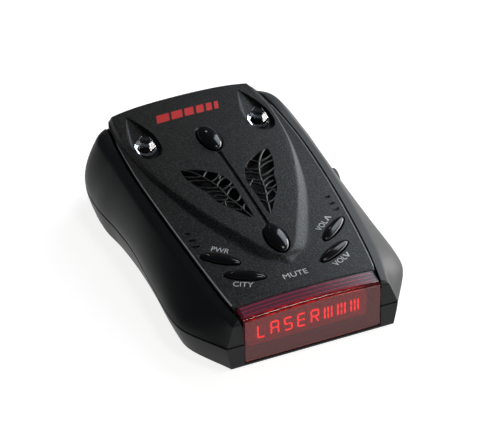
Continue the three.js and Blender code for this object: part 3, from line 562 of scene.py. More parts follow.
def surface(x, y):
    """Height of the panel: its margin, plus the raised field, whose rim is a straight slope with its edges
    just rounded. The field's front tip is blunt: x is taken as the root of its square plus that of 1.3 mm."""
    blunt = 1.3 * (1 - smooth((y / LENGTH - 0.2) / 0.15))
    aside = np.sqrt(x * x + blunt * blunt) - 0.3 * blunt
    inside = 1 - (aside - field_share(y / LENGTH) * panel_half(y)) / rim_width(y)
    slope = np.clip(inside, 0, 1)
    return deck(x, y) + FIELD_RISE * (0.85 * slope + 0.15 * smooth(slope))


def turned(along, across, angle, x, y):
    """Distances along and across a line turned by an angle in degrees, as x and y about a place."""
    c, s = np.cos(np.radians(angle)), np.sin(np.radians(angle))
    return x + along * c - across * s, y + along * s + across * c


def oval(place, grow=0.0, share=1.0, sides=72):
    """An ellipse turned by the place's angle, grown by a distance and then shrunk to a share."""
    c, s = circle(sides)
    along, across = (place["length"] + grow) * share * c, (place["breadth"] + grow) * share * s
    return np.column_stack(turned(along, across, place["angle"], place["x"], place["y"]))


REAR_PAIR_Y = 26.9
FRONT_PAIR_Y = 17.35
REAR_PAIR_X = panel_half(REAR_PAIR_Y) - 6.8
FRONT_PAIR_X = panel_half(FRONT_PAIR_Y) - 10
SLIM = {"length": 6.3, "breadth": 1.6, "rise": 0.9, "retainer": 3.4}
BUTTONS = {
    "power": {**SLIM, "x": -REAR_PAIR_X, "y": REAR_PAIR_Y, "angle": -39.8},
    "city": {**SLIM, "x": -FRONT_PAIR_X, "y": FRONT_PAIR_Y, "angle": -28},
    "mute": {"length": 6.35, "breadth": 3.15, "rise": 1.6, "retainer": 4.8, "x": 0, "y": 27.5, "angle": 90},
    "volume_up": {**SLIM, "x": REAR_PAIR_X, "y": REAR_PAIR_Y, "angle": 39.8},
    "volume_down": {**SLIM, "x": FRONT_PAIR_X, "y": FRONT_PAIR_Y, "angle": 28},
}
DOME = {"length": 6.8, "breadth": 3.3, "rise": 1.95, "x": 0, "y": LENGTH - 29, "angle": 90}
RIM = 0.35


def hole(place):
    """Cutter for a button or the dome: straight sides, and a rim that opens at 45 degrees."""
    levels = [(GAP, -4), (GAP, -RIM), (GAP + 2 * RIM, RIM), (GAP + 2 * RIM, 4)]
    return loft("hole", [raised(oval(place, grow), above(surface, z)) for grow, z in levels])


VEIN_END = 0.9
VEIN_HALF = 0.5
VEIN_FRONT = BUTTONS["mute"]["y"] + BUTTONS["mute"]["length"] + VEIN_END
VEIN_REAR = DOME["y"] - DOME["length"] - VEIN_END


def vein():
    """Cutter for the groove between the dome and the mute button, with a rim that opens at 45 degrees."""

    def plan(u, v, grow):
        return (2 * u - 1) * (VEIN_HALF + grow), mix(VEIN_FRONT - grow, VEIN_REAR + grow, v)

    levels = [(grow, above(surface, z)) for grow, z in ((0, -0.7), (0, -0.3), (0.6, 0.3), (0.6, 1))]
    return slab("vein", plan, levels, 3, 40)


WING_FRONT = VEIN_FRONT + 4.4
WING_REAR = VEIN_REAR - 3.6
wing_inner = through((0, 2.6), (0.35, 2.6), (0.6, 2.7), (0.78, 4.8), (0.92, 9.4), (1, 14.2))
wing_outer = through((0, 3.4), (0.15, 6.2), (0.35, 9.8), (0.55, 11.4), (0.72, 13.6), (0.87, 14.8), (1, 15))


def wing(side):
    """Cutter for one wing-shaped sound opening, between the inner and outer edges, with an eased rim."""
    share = np.linspace(0, 1, 34)
    y = mix(WING_FRONT, WING_REAR - 0.6, share)
    rings = []
    for grow, z in ((0, -4), (0, -0.35), (0.32, 0.08), (0.32, 2)):
        x = side * np.concatenate([wing_outer(share) + grow, wing_inner(share)[::-1] - grow])
        rings.append(raised(np.column_stack([x, np.concatenate([y, y[::-1]])])[::side], above(surface, z)))
    return loft("wing", rings)


PRISM_Y = LENGTH - 23
PRISM_X = panel_half(PRISM_Y) - 8.1
STEM_RADIUS = 1.8
HOLLOW_HALF = 4.5
HOLLOW_DEPTH = 2.4
hollow_side = through((0, 0.08), (0.2, 0.5), (0.45, 0.9), (0.63, 1), (0.82, 0.92), (0.94, 0.6), (1, 0.1))
hollow_dip = through((0, 0.1), (0.25, 0.55), (0.45, 0.96), (0.6, 1), (0.9, 1), (1, 0.3))


def hollow(side):
    """Cutter for the teardrop round a prism: its half width is that of the side curve, and its depth that of
    the dip curve times one less the eighth power of the place across."""
    u, v = np.meshgrid(np.linspace(-1, 1, 31), np.linspace(1, 0, 49))
    x = side * PRISM_X + u * HOLLOW_HALF * hollow_side(v)
    y = LENGTH - 6.5 - 25 * v
    low = surface(x, y) - HOLLOW_DEPTH * hollow_dip(v) * (1 - u**8)
    return block("hollow", [np.stack([x, y, z], -1) for z in (low, surface(x, y) + 3)])


DIMPLE_RADIUS = 0.62
DIMPLES = ((23.9, 41.4, 2.0), (23.7, 38, 2.6), (23.8, 35, 3.2))


def dimple(side, x, y, length):
    """Cutter for a crescent dimple: a spindle, its ends bent aside by half a millimetre by a parabola, whose
    middle line lies just under the surface."""
    s = np.linspace(-1, 1, 13)[1:-1, None]
    c, rise = circle(12)
    radius = DIMPLE_RADIUS * np.sqrt(1 - s * s)
    px, py = turned(s * length / 2 + 0 * c, radius * c + 0.5 * s * s, side * 18, side * x, y)
    return loft("dimple", np.stack([px, py, surface(px, py) + radius * rise - 0.05], -1))


def panel_sheet():
    """The sheet before it is cut: the surface over the panel's plan, with its edges rounded to 0.5 mm. Its
    columns follow the edges of the raised field, so that those edges stay crisp."""
    round_off = 0.5
    near = np.array([0, 0.03, 0.09, 0.18, 0.3, 0.5]) / 54
    rows = np.concatenate([near / 2, np.linspace(0.01, 0.99, 200), 1 - near[::-1] / 2])
    front, rear = WINDOW_DEPTH + GAP, LENGTH * 0.982
    spans = [6, 22, 6, 27, 27, 6, 22, 6]
    columns = np.concatenate([i + np.arange(n) / n for i, n in enumerate(spans)] + [[8]])

    def plan(u, v, grow):
        y = mix(front, rear, v)
        half = panel_half(y)
        rim = rim_width(y)
        top = np.clip(field_share(y / LENGTH) * half, 0.6, half - rim - 0.7)
        edges = np.stack([-half, 0.55 - half, -top - rim, -top, 0 * y, top, top + rim, half - 0.55, half])
        span = np.minimum(u.astype(int), 7)
        start, end = (np.take_along_axis(edges, span[None] + i, 0)[0] for i in (0, 1))
        x = mix(start, end, u - span)
        return x, mix(front, rear - 1.6 * (x / half) ** 4, v)

    def top(x, y):
        inward = np.minimum(panel_half(y) - np.abs(x), y - front)
        bent = np.clip(round_off - inward, 0, round_off)
        return surface(x, y) - (round_off - np.sqrt(round_off**2 - bent**2)) * 0.9

    return slab("top_panel_sheet", plan, [(0, above(deck, -PANEL_THICKNESS)), (0, top)], columns, rows)


def grained_panel(place):
    """Coarse eroded grain that sparkles: pits and lands of about half a millimetre, with finer grit."""
    coarse = noise(place, 0.55, 2, 0.6)
    return {
        "Base Color": coarse.over(0.45, 0.68).tint((0.003, 0.0035, 0.0045), (0.034, 0.033, 0.031)),
        "Roughness": 0.27 + 0.2 * coarse,
        "Normal": relief(coarse + 0.35 * noise(place, 0.15, 2), 0.09),
    }


def top_panel():
    """The sheet less its holes, groove, wings, hollows, dimples and the wells for the prisms' stems."""
    sheet = panel_sheet()
    cutters = [vein(), *map(hole, [*BUTTONS.values(), DOME])]
    for side in (-1, 1):
        well = post(side * PRISM_X, PRISM_Y, 10, REAR_HEIGHT + 5, STEM_RADIUS + GAP)
        cutters += [hollow(side), well, wing(side), *(dimple(side, *place) for place in DIMPLES)]
    carve(sheet, cutters)
    return sheet


panel_finish = finish("grained_black", {"Specular IOR Level": 0.27}, grained_panel)
fit(dress(top_panel(), panel_finish), "panel", "top_panel")


def cord(points, radii, sides=8):
    """A round strand through points: at each, a ring square to the way there, of its own radius."""
    way = np.gradient(points, axis=0)
    side = np.cross(way, (0, 0, 1.0))
    high = np.cross(side, way)
    side, high = (axis / np.linalg.norm(axis, axis=1)[:, None] for axis in (side, high))
    c, s = (turn[None, :, None] for turn in circle(sides))
    return points[:, None] + radii[:, None, None] * (c * side[:, None] + s * high[:, None])


def strands(name, paths):
    """Many strands as one mesh, each closed flat at both ends. A path is its points and its radii."""
    points, faces, first = [], [], 0
    for rings in (cord(*path) for path in paths):
        number = first + np.arange(rings[..., 0].size).reshape(len(rings), -1)
        faces += [*(quads[:, ::-1] for quads in bands(number)), number[:1], number[-1:, ::-1]]
        points.append(rings.reshape(-1, 3))
        first += number.size
    return solid(name, np.vstack(points), *faces)


def rib(side, start, end, bend, thick):
    """A rib in a wing: a parabola between two places given as (share of the length, share across)."""
    t = np.linspace(0, 1, 12)
    length = mix(start[0], end[0], t) + bend * 4 * t * (1 - t)
    x = side * mix(wing_inner(length), wing_outer(length), mix(start[1], end[1], t))
    y = mix(WING_FRONT, WING_REAR, length)
    return np.column_stack([x, y, surface(x, y) - thick + 0.04]), np.full(12, thick)


# The stem and its branches as (start, end, bend), each branch rooted on the stem or on another.
STEM = [((-0.01, 0.5), (0.2, 0.42), 0.0), ((0.2, 0.42), (0.5, 0.5), -0.02), ((0.5, 0.5), (1.0, 0.5), 0.04)]
BRANCHES = [
    ((0.13, 0.45), (0.22, -0.05), 0.02), ((0.16, 0.44), (0.2, 1.05), -0.02),
    ((0.27, 0.45), (0.31, 1.05), 0.03), ((0.3, 0.43), (0.37, -0.05), -0.03),
    ((0.38, 0.46), (0.4, 1.05), -0.03), ((0.42, 0.47), (0.52, -0.05), 0.02),
    ((0.47, 0.5), (0.54, 1.05), 0.02), ((0.52, 0.5), (0.6, -0.05), -0.02),
    ((0.57, 0.5), (0.66, 1.05), -0.02), ((0.6, 0.5), (0.69, -0.05), 0.02),
    ((0.7, 0.5), (0.78, 1.05), 0.02), ((0.69, 0.5), (0.78, -0.05), -0.02),
    ((0.8, 0.5), (0.88, 1.05), -0.01), ((0.79, 0.5), (0.87, -0.05), 0.01),
    ((0.46, 0.95), (0.38, 0.45), 0.02), ((0.34, 0.75), (0.25, 1.05), 0.0),
    ((0.56, 0.25), (0.47, -0.05), 0.0), ((0.66, 0.25), (0.74, 0.02), 0.01),
]
ribs = [
    rib(side, *place, thick)
    for places, thick in ((STEM, 0.46), (BRANCHES, 0.38))
    for side in (-1, 1)
    for place in places
]
fit(dress(strands("sound_ribs", ribs), panel_finish, 60), "panel")


def edge_line(side):
    """A painted highlight along a side edge of the panel, thicker towards the front: a pale line that stands
    in for the light the edge catches.
    """
    y = np.linspace(WINDOW_DEPTH + 1.5, LENGTH - 16, 60)
    x = side * (panel_half(y) - 0.22)
    return np.column_stack([x, y, surface(x, y) - 0.14]), np.linspace(0.3, 0.14, 60)


def mottled(tones=None, grain=(), blend=None, polish=None, bump=None):
    """What varies on a plain finish, each from noise of a size and detail: the two tones with their grain,
    blended over a part of its range; polish as least roughness, what noise adds, and grain; bump as depth
    and grain."""

    def varying(place):
        made = {}
        if tones:
            share = noise(place, *grain)
            made["Base Color"] = (share.over(*blend) if blend else share).tint(*tones)
        if polish:
            made["Roughness"] = polish[0] + polish[1] * noise(place, *polish[2:])
        if bump:
            made["Normal"] = relief(noise(place, *bump[1:]), bump[0])
        return made

    return varying


# Painted highlight: pale grey colour along each side edge of the panel, where the edge catches the light.
highlight_tones = mottled(((0.12, 0.125, 0.13), (0.22, 0.225, 0.23)), (0.8, 3), polish=(0.4, 0.1, 0.5))
highlight_finish = finish("painted_edge_highlight", {}, highlight_tones)
fit(dress(strands("panel_edge_highlights", [edge_line(-1), edge_line(1)]), highlight_finish, 60), "panel")

# ---- Display window --------------------------------------------------------------------------------------
# One piece of transparent dark red acrylic, bent over the front edge: a clear face over the display and a
# strip on top with moulded ribs underneath. It is snapped between the case halves.

WINDOW_THICKNESS = 1.6
WINDOW_ROUND = 1.0
RIB_PITCH = 1.45
RIB_HALF = 0.35


def display_window():
    """An L-shaped section carried across the case: up the face, round the edge and back along the strip, then
    the same line one thickness inside, with cosine ribs under the strip. The strip follows the crown."""
    turn = np.linspace(0, np.pi / 2, 9)
    rear = np.linspace(WINDOW_ROUND + 0.3, WINDOW_DEPTH, 12)
    strip_y = np.concatenate([WINDOW_ROUND * (1 - np.cos(turn)), rear])
    strip_drop = np.concatenate([WINDOW_ROUND * (1 - np.sin(turn)), 0 * rear])
    ribs_y = np.linspace(WINDOW_DEPTH, WINDOW_THICKNESS, 49)
    wave = np.cos(2 * np.pi * (ribs_y - WINDOW_THICKNESS) / RIB_PITCH)
    ribs_drop = WINDOW_THICKNESS + RIB_HALF * (wave - 1)
    face = [[0, WINDOW_SILL + 0.25], [0, 6], [0, 11]]
    back = [[WINDOW_THICKNESS, 11], [WINDOW_THICKNESS, WINDOW_SILL], [0.25, WINDOW_SILL]]
    rings = []
    for x in np.linspace(-WINDOW_HALF, WINDOW_HALF, 61):
        outer = np.column_stack([strip_y, deck(x, strip_y) - strip_drop])
        inner = np.column_stack([ribs_y, deck(x, ribs_y) - ribs_drop])
        section = np.vstack([face, outer, inner, back])[::-1]
        rings.append(np.column_stack([np.full(len(section), x), section]))
    return loft("window_lens", rings)


def red_acrylic(place):
    """Clear dyed acrylic with faint wiping marks in its polish. The strip behind the face is tinted deeper,
    and its moulded ribs show as red lines. The strip, short of its ends, also glows: a painted red
    highlight on each rib and a painted bluish-grey reflection between them."""
    x = place.node("SeparateXYZ", None, {"Vector": place})
    y = place.node("SeparateXYZ", None, {"Vector": place}, "Y") + LENGTH / 2 * MM
    turns = y * (2 * np.pi / (RIB_PITCH * MM)) - 2.1
    rib_line = turns.math("SINE", turns)
    strip = y.over(1.2 * MM, 1.9 * MM)
    lines = rib_line.over(0.7, 0.95).tint((0.10, 0.010, 0.022), (0.50, 0.02, 0.03))
    # Painted glow: red highlights on the ribs and a bluish-grey reflection between them.
    glint = rib_line.over(0.75, 0.98).tint((0.08, 0.07, 0.12), (0.75, 0.04, 0.09))
    inside = strip * (1 - x.math("ABSOLUTE", x).over((WINDOW_HALF - 0.8) * MM, (WINDOW_HALF - 0.4) * MM))
    return {
        "Base Color": strip.tint((0.52, 0.06, 0.05), lines),
        "Roughness": 0.03 + 0.05 * noise(place, 3, 3) + 0.16 * strip,
        "Emission Color": inside.tint((0, 0, 0), glint),
    }


# The emission strength sets the brightness of the painted glow on the strip.
window_finish = finish(
    "red_acrylic",
    {"Transmission Weight": 0.93, "IOR": 1.49, "Specular IOR Level": 0.36, "Emission Strength": 0.22},
    red_acrylic,
)
fit(dress(display_window(), window_finish, 35), "window", "display_window")

# ---- Display ---------------------------------------------------------------------------------------------
# Two four-character light-emitting modules behind the window. Each character is fourteen moulded light
# pipes; the lit ones glow red and the rest are dull, with a faint painted red glow. They show a plain
# word and three signal-strength bars.

PITCH = 4.46
CHARACTER_SIZE = (2.35, 4.4)
STROKE = 0.36
PIPE_GAP = 0.1
module_low, module_high = extent("display_module_left")

# Segments by letter, each from one (across, up) place to another in half sizes, and those that are lit.
SEGMENTS = {
    "a": (-1, 1, 1, 1), "d": (-1, -1, 1, -1), "f": (-1, 0, -1, 1), "e": (-1, -1, -1, 0),
    "b": (1, 0, 1, 1), "c": (1, -1, 1, 0), "g": (-1, 0, 0, 0), "h": (0, 0, 1, 0),
    "j": (0, 0, 0, 1), "m": (0, -1, 0, 0), "i": (-1, 1, 0, 0), "k": (0, 0, 1, 1),
    "n": (-1, -1, 0, 0), "l": (0, 0, 1, -1),
}
CHARACTERS = ["def", "abcefgh", "acdfgh", "adefgh", "abefghl", "bcefjm", "bcefjm", "bcefjm"]


def tiles(outlines, low, high):
    """Convex anticlockwise outlines, each as a thin closed tile between two levels: points and faces."""
    points, faces, first = [], [], 0
    for corners in outlines:
        ring = first + np.arange(len(corners))
        points += [np.column_stack([corners, np.full(len(ring), level)]) for level in (low, high)]
        faces += [*bands([ring, ring + len(ring)]), ring[None] + len(ring), ring[None, ::-1]]
        first += 2 * len(ring)
    return np.vstack(points), faces


def light_pipes(name, lit):
    """All lit, or all unlit, segments as small bars: each is a hexagon round its middle line, short of the
    segment's ends by a gap, standing 0.1 mm out of the module's face."""
    outlines = []
    for column, shown in enumerate(CHARACTERS):
        for segment, ends in SEGMENTS.items():
            if (segment in shown) == lit:
                start, end = np.reshape(ends, (2, 2)) * CHARACTER_SIZE / 2
                along = (end - start) / np.linalg.norm(end - start)
                side = np.array([-along[1], along[0]]) * STROKE / 2
                a, b = start + along * PIPE_GAP, end - along * PIPE_GAP
                c, d = a + along * STROKE / 2, b - along * STROKE / 2
                plan = np.array([a, c - side, d - side, b, d + side, c + side])
                outlines.append(plan + ((column - 3.5) * PITCH, 0))
    points, faces = tiles(outlines, -0.05, 0.1)
    x, z, out = points.T
    middle = (module_low.z + module_high.z) / 2
    return solid(name, np.column_stack([x, module_low.y - out, z + middle]), *faces)


def glow(place):
    """A lit pipe's light, and the faint painted glow of an unlit one: a bright core that fades a little where
    the light is uneven.
    """
    return {"Emission Color": noise(place, 0.7).tint((1.0, 0.02, 0.02), (1.0, 0.09, 0.07))}


lit_finish = finish("lit_red", {"Base Color": (0.6, 0.05, 0.04, 1), "Emission Strength": 5.5}, glow)
# Painted glow: the unlit pipes give off a faint red light of their own.
dull_pipe = {"Base Color": (0.45, 0.12, 0.1, 1), "Roughness": 0.5, "Emission Strength": 0.12}
dull_finish = finish("dull_pipe", dull_pipe, glow)
fit(dress(light_pipes("lit_segments", True), lit_finish, 60), "display_module")
fit(dress(light_pipes("dull_segments", False), dull_finish, 60), "display_module")


def module_resin(place):
    """Dark red potting resin with a faint mottle of solder shadows showing through, and a painted red glow
    over all of it that stands in for light spread from the lit segments.
    """
    return {
        "Base Color": noise(place, 1.2, 3).over(0.4, 0.7).tint((0.16, 0.02, 0.018), (0.30, 0.05, 0.04)),
        "Roughness": 0.35 + 0.2 * noise(place, 0.4),
        # Painted glow: the resin gives off red light of its own, though it is no lamp.
        "Emission Color": noise(place, 2.0, 3).over(0.5, 0.7).tint((0.5, 0.03, 0.02), (1.0, 0.10, 0.08)),
    }


def paint(nodes, material):
    """Gives CAD nodes that keep their shape their material."""
    for node in nodes.split():
        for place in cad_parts[node].material_slots:
            place.material = material


module_finish = finish("module_resin", {"Emission Strength": 0.34}, module_resin)
paint("display_module_left display_module_right", module_finish)

# ---- Buttons and sensor dome -----------------------------------------------------------------------------
# Gloss black caps with an oval crown, polished, with fingerprints as a faint change of polish. Each button
# has a round retainer under the panel and a stem to its switch; the dome has an oval flange and is fixed.

gloss_black = mottled(((0.004, 0.004, 0.005), (0.007, 0.007, 0.008)), (2.5,), polish=(0.07, 0.07, 4, 3))
gloss_finish = finish("gloss_black", {"Specular IOR Level": 0.3}, gloss_black)


def crown(place):
    """Rings of the crown from its foot to its middle: over the panel's surface by the rise times 0.15 plus
    0.85 of the cosine, at a share of the oval that is the sine of the same angle."""
    angles = np.linspace(np.pi / 2, 0.03, 18)
    levels = place["rise"] * (0.15 + 0.85 * np.cos(angles))
    return [raised(oval(place, 0, np.sin(a)), above(surface, z)) for a, z in zip(angles, levels)]


def button(name, place):
    """Stem, retainer and crown as one turned surface whose rings change from round to oval."""
    radius = place["retainer"]
    top = deck(abs(place["x"]) + radius, place["y"] - radius) - PANEL_THICKNESS - GAP
    foot = extent(name + "_button")[0].z
    body = [
        raised(oval({**place, "length": r, "breadth": r}), level)
        for r, level in ((1.6, foot), (1.6, top - 1), (radius, top - 1), (radius, top))
    ]
    return loft(name + "_cap", [*body, raised(oval(place), top), *crown(place)])


for name, place in BUTTONS.items():
    fit(dress(button(name, place), gloss_finish, 40), "gloss_black", name + "_button", body=name + "_button")

FLANGE = 0.8
dome_foot = extent("sensor_dome")[0].z
dome_rings = [raised(oval(DOME, grow), dome_foot + z) for grow, z in ((1, 0), (1, FLANGE), (0, FLANGE))]
fit(dress(loft("dome_cap", dome_rings + crown(DOME)), gloss_finish, 40), "gloss_black", "sensor_dome")

# ---- Alert prisms ----------------------------------------------------------------------------------------
# Polished clear acrylic prisms in the teardrop hollows: a six-sided gem with ground facets and a stem that
# carries the light up from the lamp on the board.

GEM_HEIGHT = 3.7
GEM_GIRDLE = 1.7
GEM_HALF = (3.5, 4.5)


def bevelled(shape, width, angle, segments=1):
    """Breaks a shape's edges that are sharper than an angle."""
    bevel = shape.modifiers.new("edges", "BEVEL")
    bevel.width = width * MM
    bevel.segments = segments
    bevel.angle_limit = np.radians(angle)
    settle(shape)
    return shape


def prism(name, node, side):
    """A six-sided gem on a stem: up to its girdle it narrows to 0.95, and above it to 0.6, with every edge
    broken by a bevel."""
    low, high = extent(node)
    base = high.z - GEM_HEIGHT
    phase = (np.arange(6) + 0.5) * np.pi / 3
    hexagon = np.column_stack([np.cos(phase), np.sin(phase)])
    stem, gem = hexagon * STEM_RADIUS, hexagon * GEM_HALF
    levels = [(stem, low.z), (stem, base), (gem, base), (gem * 0.95, base + GEM_GIRDLE), (gem * 0.6, high.z)]
    rings = [raised(ring + (side * PRISM_X, PRISM_Y), z) for ring, z in levels]
    return bevelled(loft(name, rings), 0.14, 25)


clear = {"Base Color": (0.72, 0.75, 0.8, 1), "Transmission Weight": 1.0, "IOR": 1.49}
clear_finish = finish("clear_acrylic", clear, mottled(polish=(0.02, 0.06, 1.5)))
for word, side in (("left", -1), ("right", 1)):
    node = word + "_prism"
    fit(dress(prism(word + "_gem", node, side), clear_finish, 12), "clear", node)

# ---- Printing --------------------------------------------------------------------------------------------
# Pad-printed function words beside the buttons in matt light grey, and a plain mark of slanted bars in matt
# red at the rear. The ink lies on the grain, a few hundredths of a millimetre thick, and is a little uneven.

INK = 0.04


def ink_on(points, centre, turn):
    """Flat points of a print, turned and laid on the panel: x and y in its plan, and z as its thickness."""
    x, y = turned(points[:, 0], points[:, 1], turn, *centre)
    return np.column_stack([x, y, surface(x, y) + points[:, 2]])


def words(name, text, centre, turn, height, breadth):
    """A word as a thin raised print: text made a mesh, scaled to its height and breadth, and laid on."""
    curve = bpy.data.curves.new(name, "FONT")
    curve.body = text
    curve.size = 1
    curve.extrude = 0.02
    curve.resolution_u = 4
    writing = link(name, curve)
    state = bpy.context.evaluated_depsgraph_get()
    mesh = bpy.data.meshes.new_from_object(writing.evaluated_get(state))
    bpy.data.objects.remove(writing)
    flat = np.empty(3 * len(mesh.vertices))
    mesh.vertices.foreach_get("co", flat)
    flat = flat.reshape(-1, 3)
    low, high = flat.min(0), flat.max(0)
    flat = (flat - (low + high) / 2) * (breadth, height, INK) / (high - low)
    laid = (ink_on(flat, centre, turn) - (*MIDDLE, 0)) * MM
    mesh.vertices.foreach_set("co", laid.ravel())
    mesh.update()
    return link(name, mesh)


def flat_print(name, outlines, centre, turn):
    """Convex flat shapes as one thin print."""
    points, faces = tiles(outlines, -INK / 2, INK / 2)
    return solid(name, ink_on(points, centre, turn), *faces)


def chevron(s):
    """Two strokes that meet in a point, up for 1 and down for -1."""
    left = [(-1.2, -0.9 * s), (-0.6, -0.9 * s), (0.2, 0.9 * s), (-0.2, 0.9 * s)]
    right = [(-x, y) for x, y in left]
    return [left[::s], right[::-s]]


grey_ink = mottled(((0.42, 0.43, 0.44), (0.62, 0.63, 0.64)), (0.3,), (0.3, 0.7))
red_ink = mottled(((0.50, 0.012, 0.014), (0.66, 0.022, 0.02)), (0.4,), (0.3, 0.7))
grey_finish = finish("grey_ink", {"Roughness": 0.6}, grey_ink)
red_finish = finish("red_ink", {"Roughness": 0.55}, red_ink)
LEGENDS = [
    ("legend_power", "PWR", (-17.5, 30.6), -38, 2.0, 5.6),
    ("legend_city", "CITY", (-16.9, 14.2), -28, 2.0, 6.2),
    ("legend_mute", "MUTE", (-0.4, 12.25), 0, 2.0, 8.0),
    ("legend_volume_up", "VOL", (16.2, 29.4), 40, 2.0, 5.2),
    ("legend_volume_down", "VOL", (14.9, 13.0), 27, 2.0, 5.2),
]
ARROWS = [("arrow_up", (19.4, 32.2), 40, 1), ("arrow_down", (18.1, 14.7), 27, -1)]
prints = [words(*legend) for legend in LEGENDS]
prints += [flat_print(name, chevron(way), centre, turn) for name, centre, turn, way in ARROWS]
for print_shape in prints:
    fit(dress(print_shape, grey_finish, 60), "panel")

BAR_HALF = 2.1
BAR_SLANT = 1.3
BARS = ((-12.2, 4.4), (-7.0, 3.8), (-2.4, 3.2), (1.7, 2.6), (5.2, 2.0), (8.1, 1.4))
mark = [
    [(x, -BAR_HALF), (x + broad, -BAR_HALF), (x + broad + BAR_SLANT, BAR_HALF), (x + BAR_SLANT, BAR_HALF)]
    for x, broad in BARS
]
fit(dress(flat_print("maker_bars", mark, (0, 97.8), 0), red_finish, 60), "panel")

# ---- Sound cloth -----------------------------------------------------------------------------------------
# Fine black woven cloth stretched across the underside of the panel behind the wings, glued at its edges.

cloth_low, cloth_high = extent("speaker_cloth")
CLOTH = 0.3


def sound_cloth():
    """A thin sheet a gap below the panel's underside, over a rectangle that covers both wings."""

    def plan(u, v, grow):
        return mix(cloth_low.x, cloth_high.x, u), mix(cloth_low.y, cloth_high.y, v)

    face = above(deck, -PANEL_THICKNESS - GAP)
    return slab("sound_cloth", plan, [(0, above(face, -CLOTH)), (0, face)], 25, 25)


def woven_black(place):
    """Plain weave of 0.3 mm threads: crossed waves, one for each direction."""
    warp, weft = (
        place.node("TexWave", {"bands_direction": way}, {"Vector": place, "Scale": 1 / (0.6 * MM) / 3.14})
        for way in "XY"
    )
    weave = warp * weft
    return {
        "Base Color": weave.tint((0.002, 0.002, 0.002), (0.012, 0.012, 0.013)),
        "Normal": relief(weave, 0.1),
    }


cloth_finish = finish("woven_black", {"Roughness": 0.9}, woven_black)
cloth = dress(sound_cloth(), cloth_finish)
fit(cloth, "cloth", "speaker_cloth")

# ---- Laser window, socket and screws ---------------------------------------------------------------------
# Trim that closes the shell's openings: an infrared-black window at the rear, the power socket's nose in
# the right wall with its pin, and plated cross-head screws and a paper label underneath.


def softened(node, name, width):
    """A copy of a CAD node with its doubled points merged and its sharp edges rounded by a bevel."""
    shape = link(name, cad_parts[node].data.copy())
    weld = shape.modifiers.new("weld", "WELD")
    weld.merge_threshold = 0.001 * MM
    return bevelled(shape, width, 50, 2)


def plated(place):
    """Zinc-plated steel: fine turning marks and a cloudy change of polish."""
    turning = {"Vector": place, "Scale": 900.0, "Distortion": 2.0}
    marks = place.node("TexWave", {"bands_direction": "Z"}, turning)
    return {
        "Base Color": noise(place, 1.0).tint((0.45, 0.45, 0.44), (0.62, 0.62, 0.60)),
        "Roughness": 0.26 + 0.14 * noise(place, 0.6) + 0.04 * marks,
    }


def label_paper(place):
    """Silvered label film with faint ruled lines and no words."""
    lines = place.node("TexWave", {"bands_direction": "Y"}, {"Vector": place, "Scale": 105.0})
    return {
        "Base Color": lines.over(0.85, 0.97).tint((0.55, 0.56, 0.56), (0.2, 0.2, 0.21)),
        "Roughness": 0.4 + 0.1 * noise(place, 3),
    }


# Glossy infrared-passing black with a breath of dust, and the matt glass-filled black of sockets and
# switches with its flow marks.
infrared = {"Base Color": (0.012, 0.004, 0.006, 1)}
infrared_finish = finish("infrared_black", infrared, mottled(polish=(0.08, 0.08, 2, 3)))
moulded_black = mottled(
    ((0.012, 0.012, 0.012), (0.024, 0.024, 0.025)), (1.1, 4), polish=(0.5, 0.2, 1.1, 4), bump=(0.01, 0.12)
)
part_finish = finish("moulded_black", {"IOR": 1.5}, moulded_black)
screw_finish = finish("plated_steel", {"Metallic": 1.0}, plated)
label_finish = finish("label_film", {"Metallic": 0.2}, label_paper)
TRIM = [
    ("laser_window", "laser_lens_cover", 0.25, infrared_finish, "infrared_window"),
    ("power_socket", "socket_shell", 0.2, part_finish, "black_part"),
    ("power_socket_pin", "socket_pin", 0.15, screw_finish, "tinned_metal"),
    *(("case_screw_" + corner, "screw_" + corner, 0.12, screw_finish, "screw_metal") for corner in CORNERS),
    ("rating_label", "label_plate", 0.08, label_finish, "label"),
]
for node, name, width, material, slot in TRIM:
    fit(dress(softened(node, name, width), material), slot, node)

# ---- Inside ----------------------------------------------------------------------------------------------
# Boards, switches, speaker and receiver keep their shape from the frame. Each gets the finish of its real
# material; little of it is seen, through the window, the wings and the prisms.


def solder_mask(place):
    """Green mask over copper: tracks are a shade lighter, on a grid of fine cells."""
    square = {"distance": "CHEBYCHEV", "feature": "F1"}
    cells = place.node("TexVoronoi", square, {"Vector": place, "Scale": 420.0})
    tracks = cells.over(0.42, 0.5)
    return {
        "Base Color": tracks.tint((0.010, 0.075, 0.030), (0.018, 0.13, 0.05)),
        "Roughness": 0.32 + 0.15 * noise(place, 1.5),
        "Normal": relief(tracks, 0.03),
    }


# Milky nylon with a soft mottle; the matted black pulp of a speaker cone; sintered ferrite with open pores;
# die-cast zinc with cold flow marks and a fine cast grain.
nylon = mottled(((0.62, 0.61, 0.57), (0.72, 0.71, 0.67)), (1.5,), polish=(0.4, 0.15, 0.8))
pulp = mottled(((0.008, 0.008, 0.008), (0.035, 0.034, 0.033)), (0.35, 5, 0.7), bump=(0.06, 0.35, 5, 0.7))
ferrite = mottled(
    ((0.018, 0.018, 0.02), (0.05, 0.05, 0.055)), (0.25, 4), polish=(0.55, 0.2, 0.25, 4), bump=(0.03, 0.25, 4)
)
zinc = mottled(
    ((0.34, 0.34, 0.35), (0.50, 0.50, 0.51)), (4, 5, 0.6), polish=(0.38, 0.2, 4, 5, 0.6), bump=(0.02, 0.3, 3)
)
nylon_finish = finish("milky_nylon", {}, nylon)
paint("main_board display_board laser_board", finish("solder_mask", {}, solder_mask))
paint("display_header processor_chip laser_holder laser_diode speaker_basket", part_finish)
paint("clock_crystal filter_capacitor", screw_finish)
paint("speaker_cone", finish("pressed_paper", {"Roughness": 0.9}, pulp))
paint("speaker_magnet", finish("ferrite", {}, ferrite))
paint("horn_antenna microwave_block microwave_cover", finish("die_cast_zinc", {"Metallic": 1.0}, zinc))
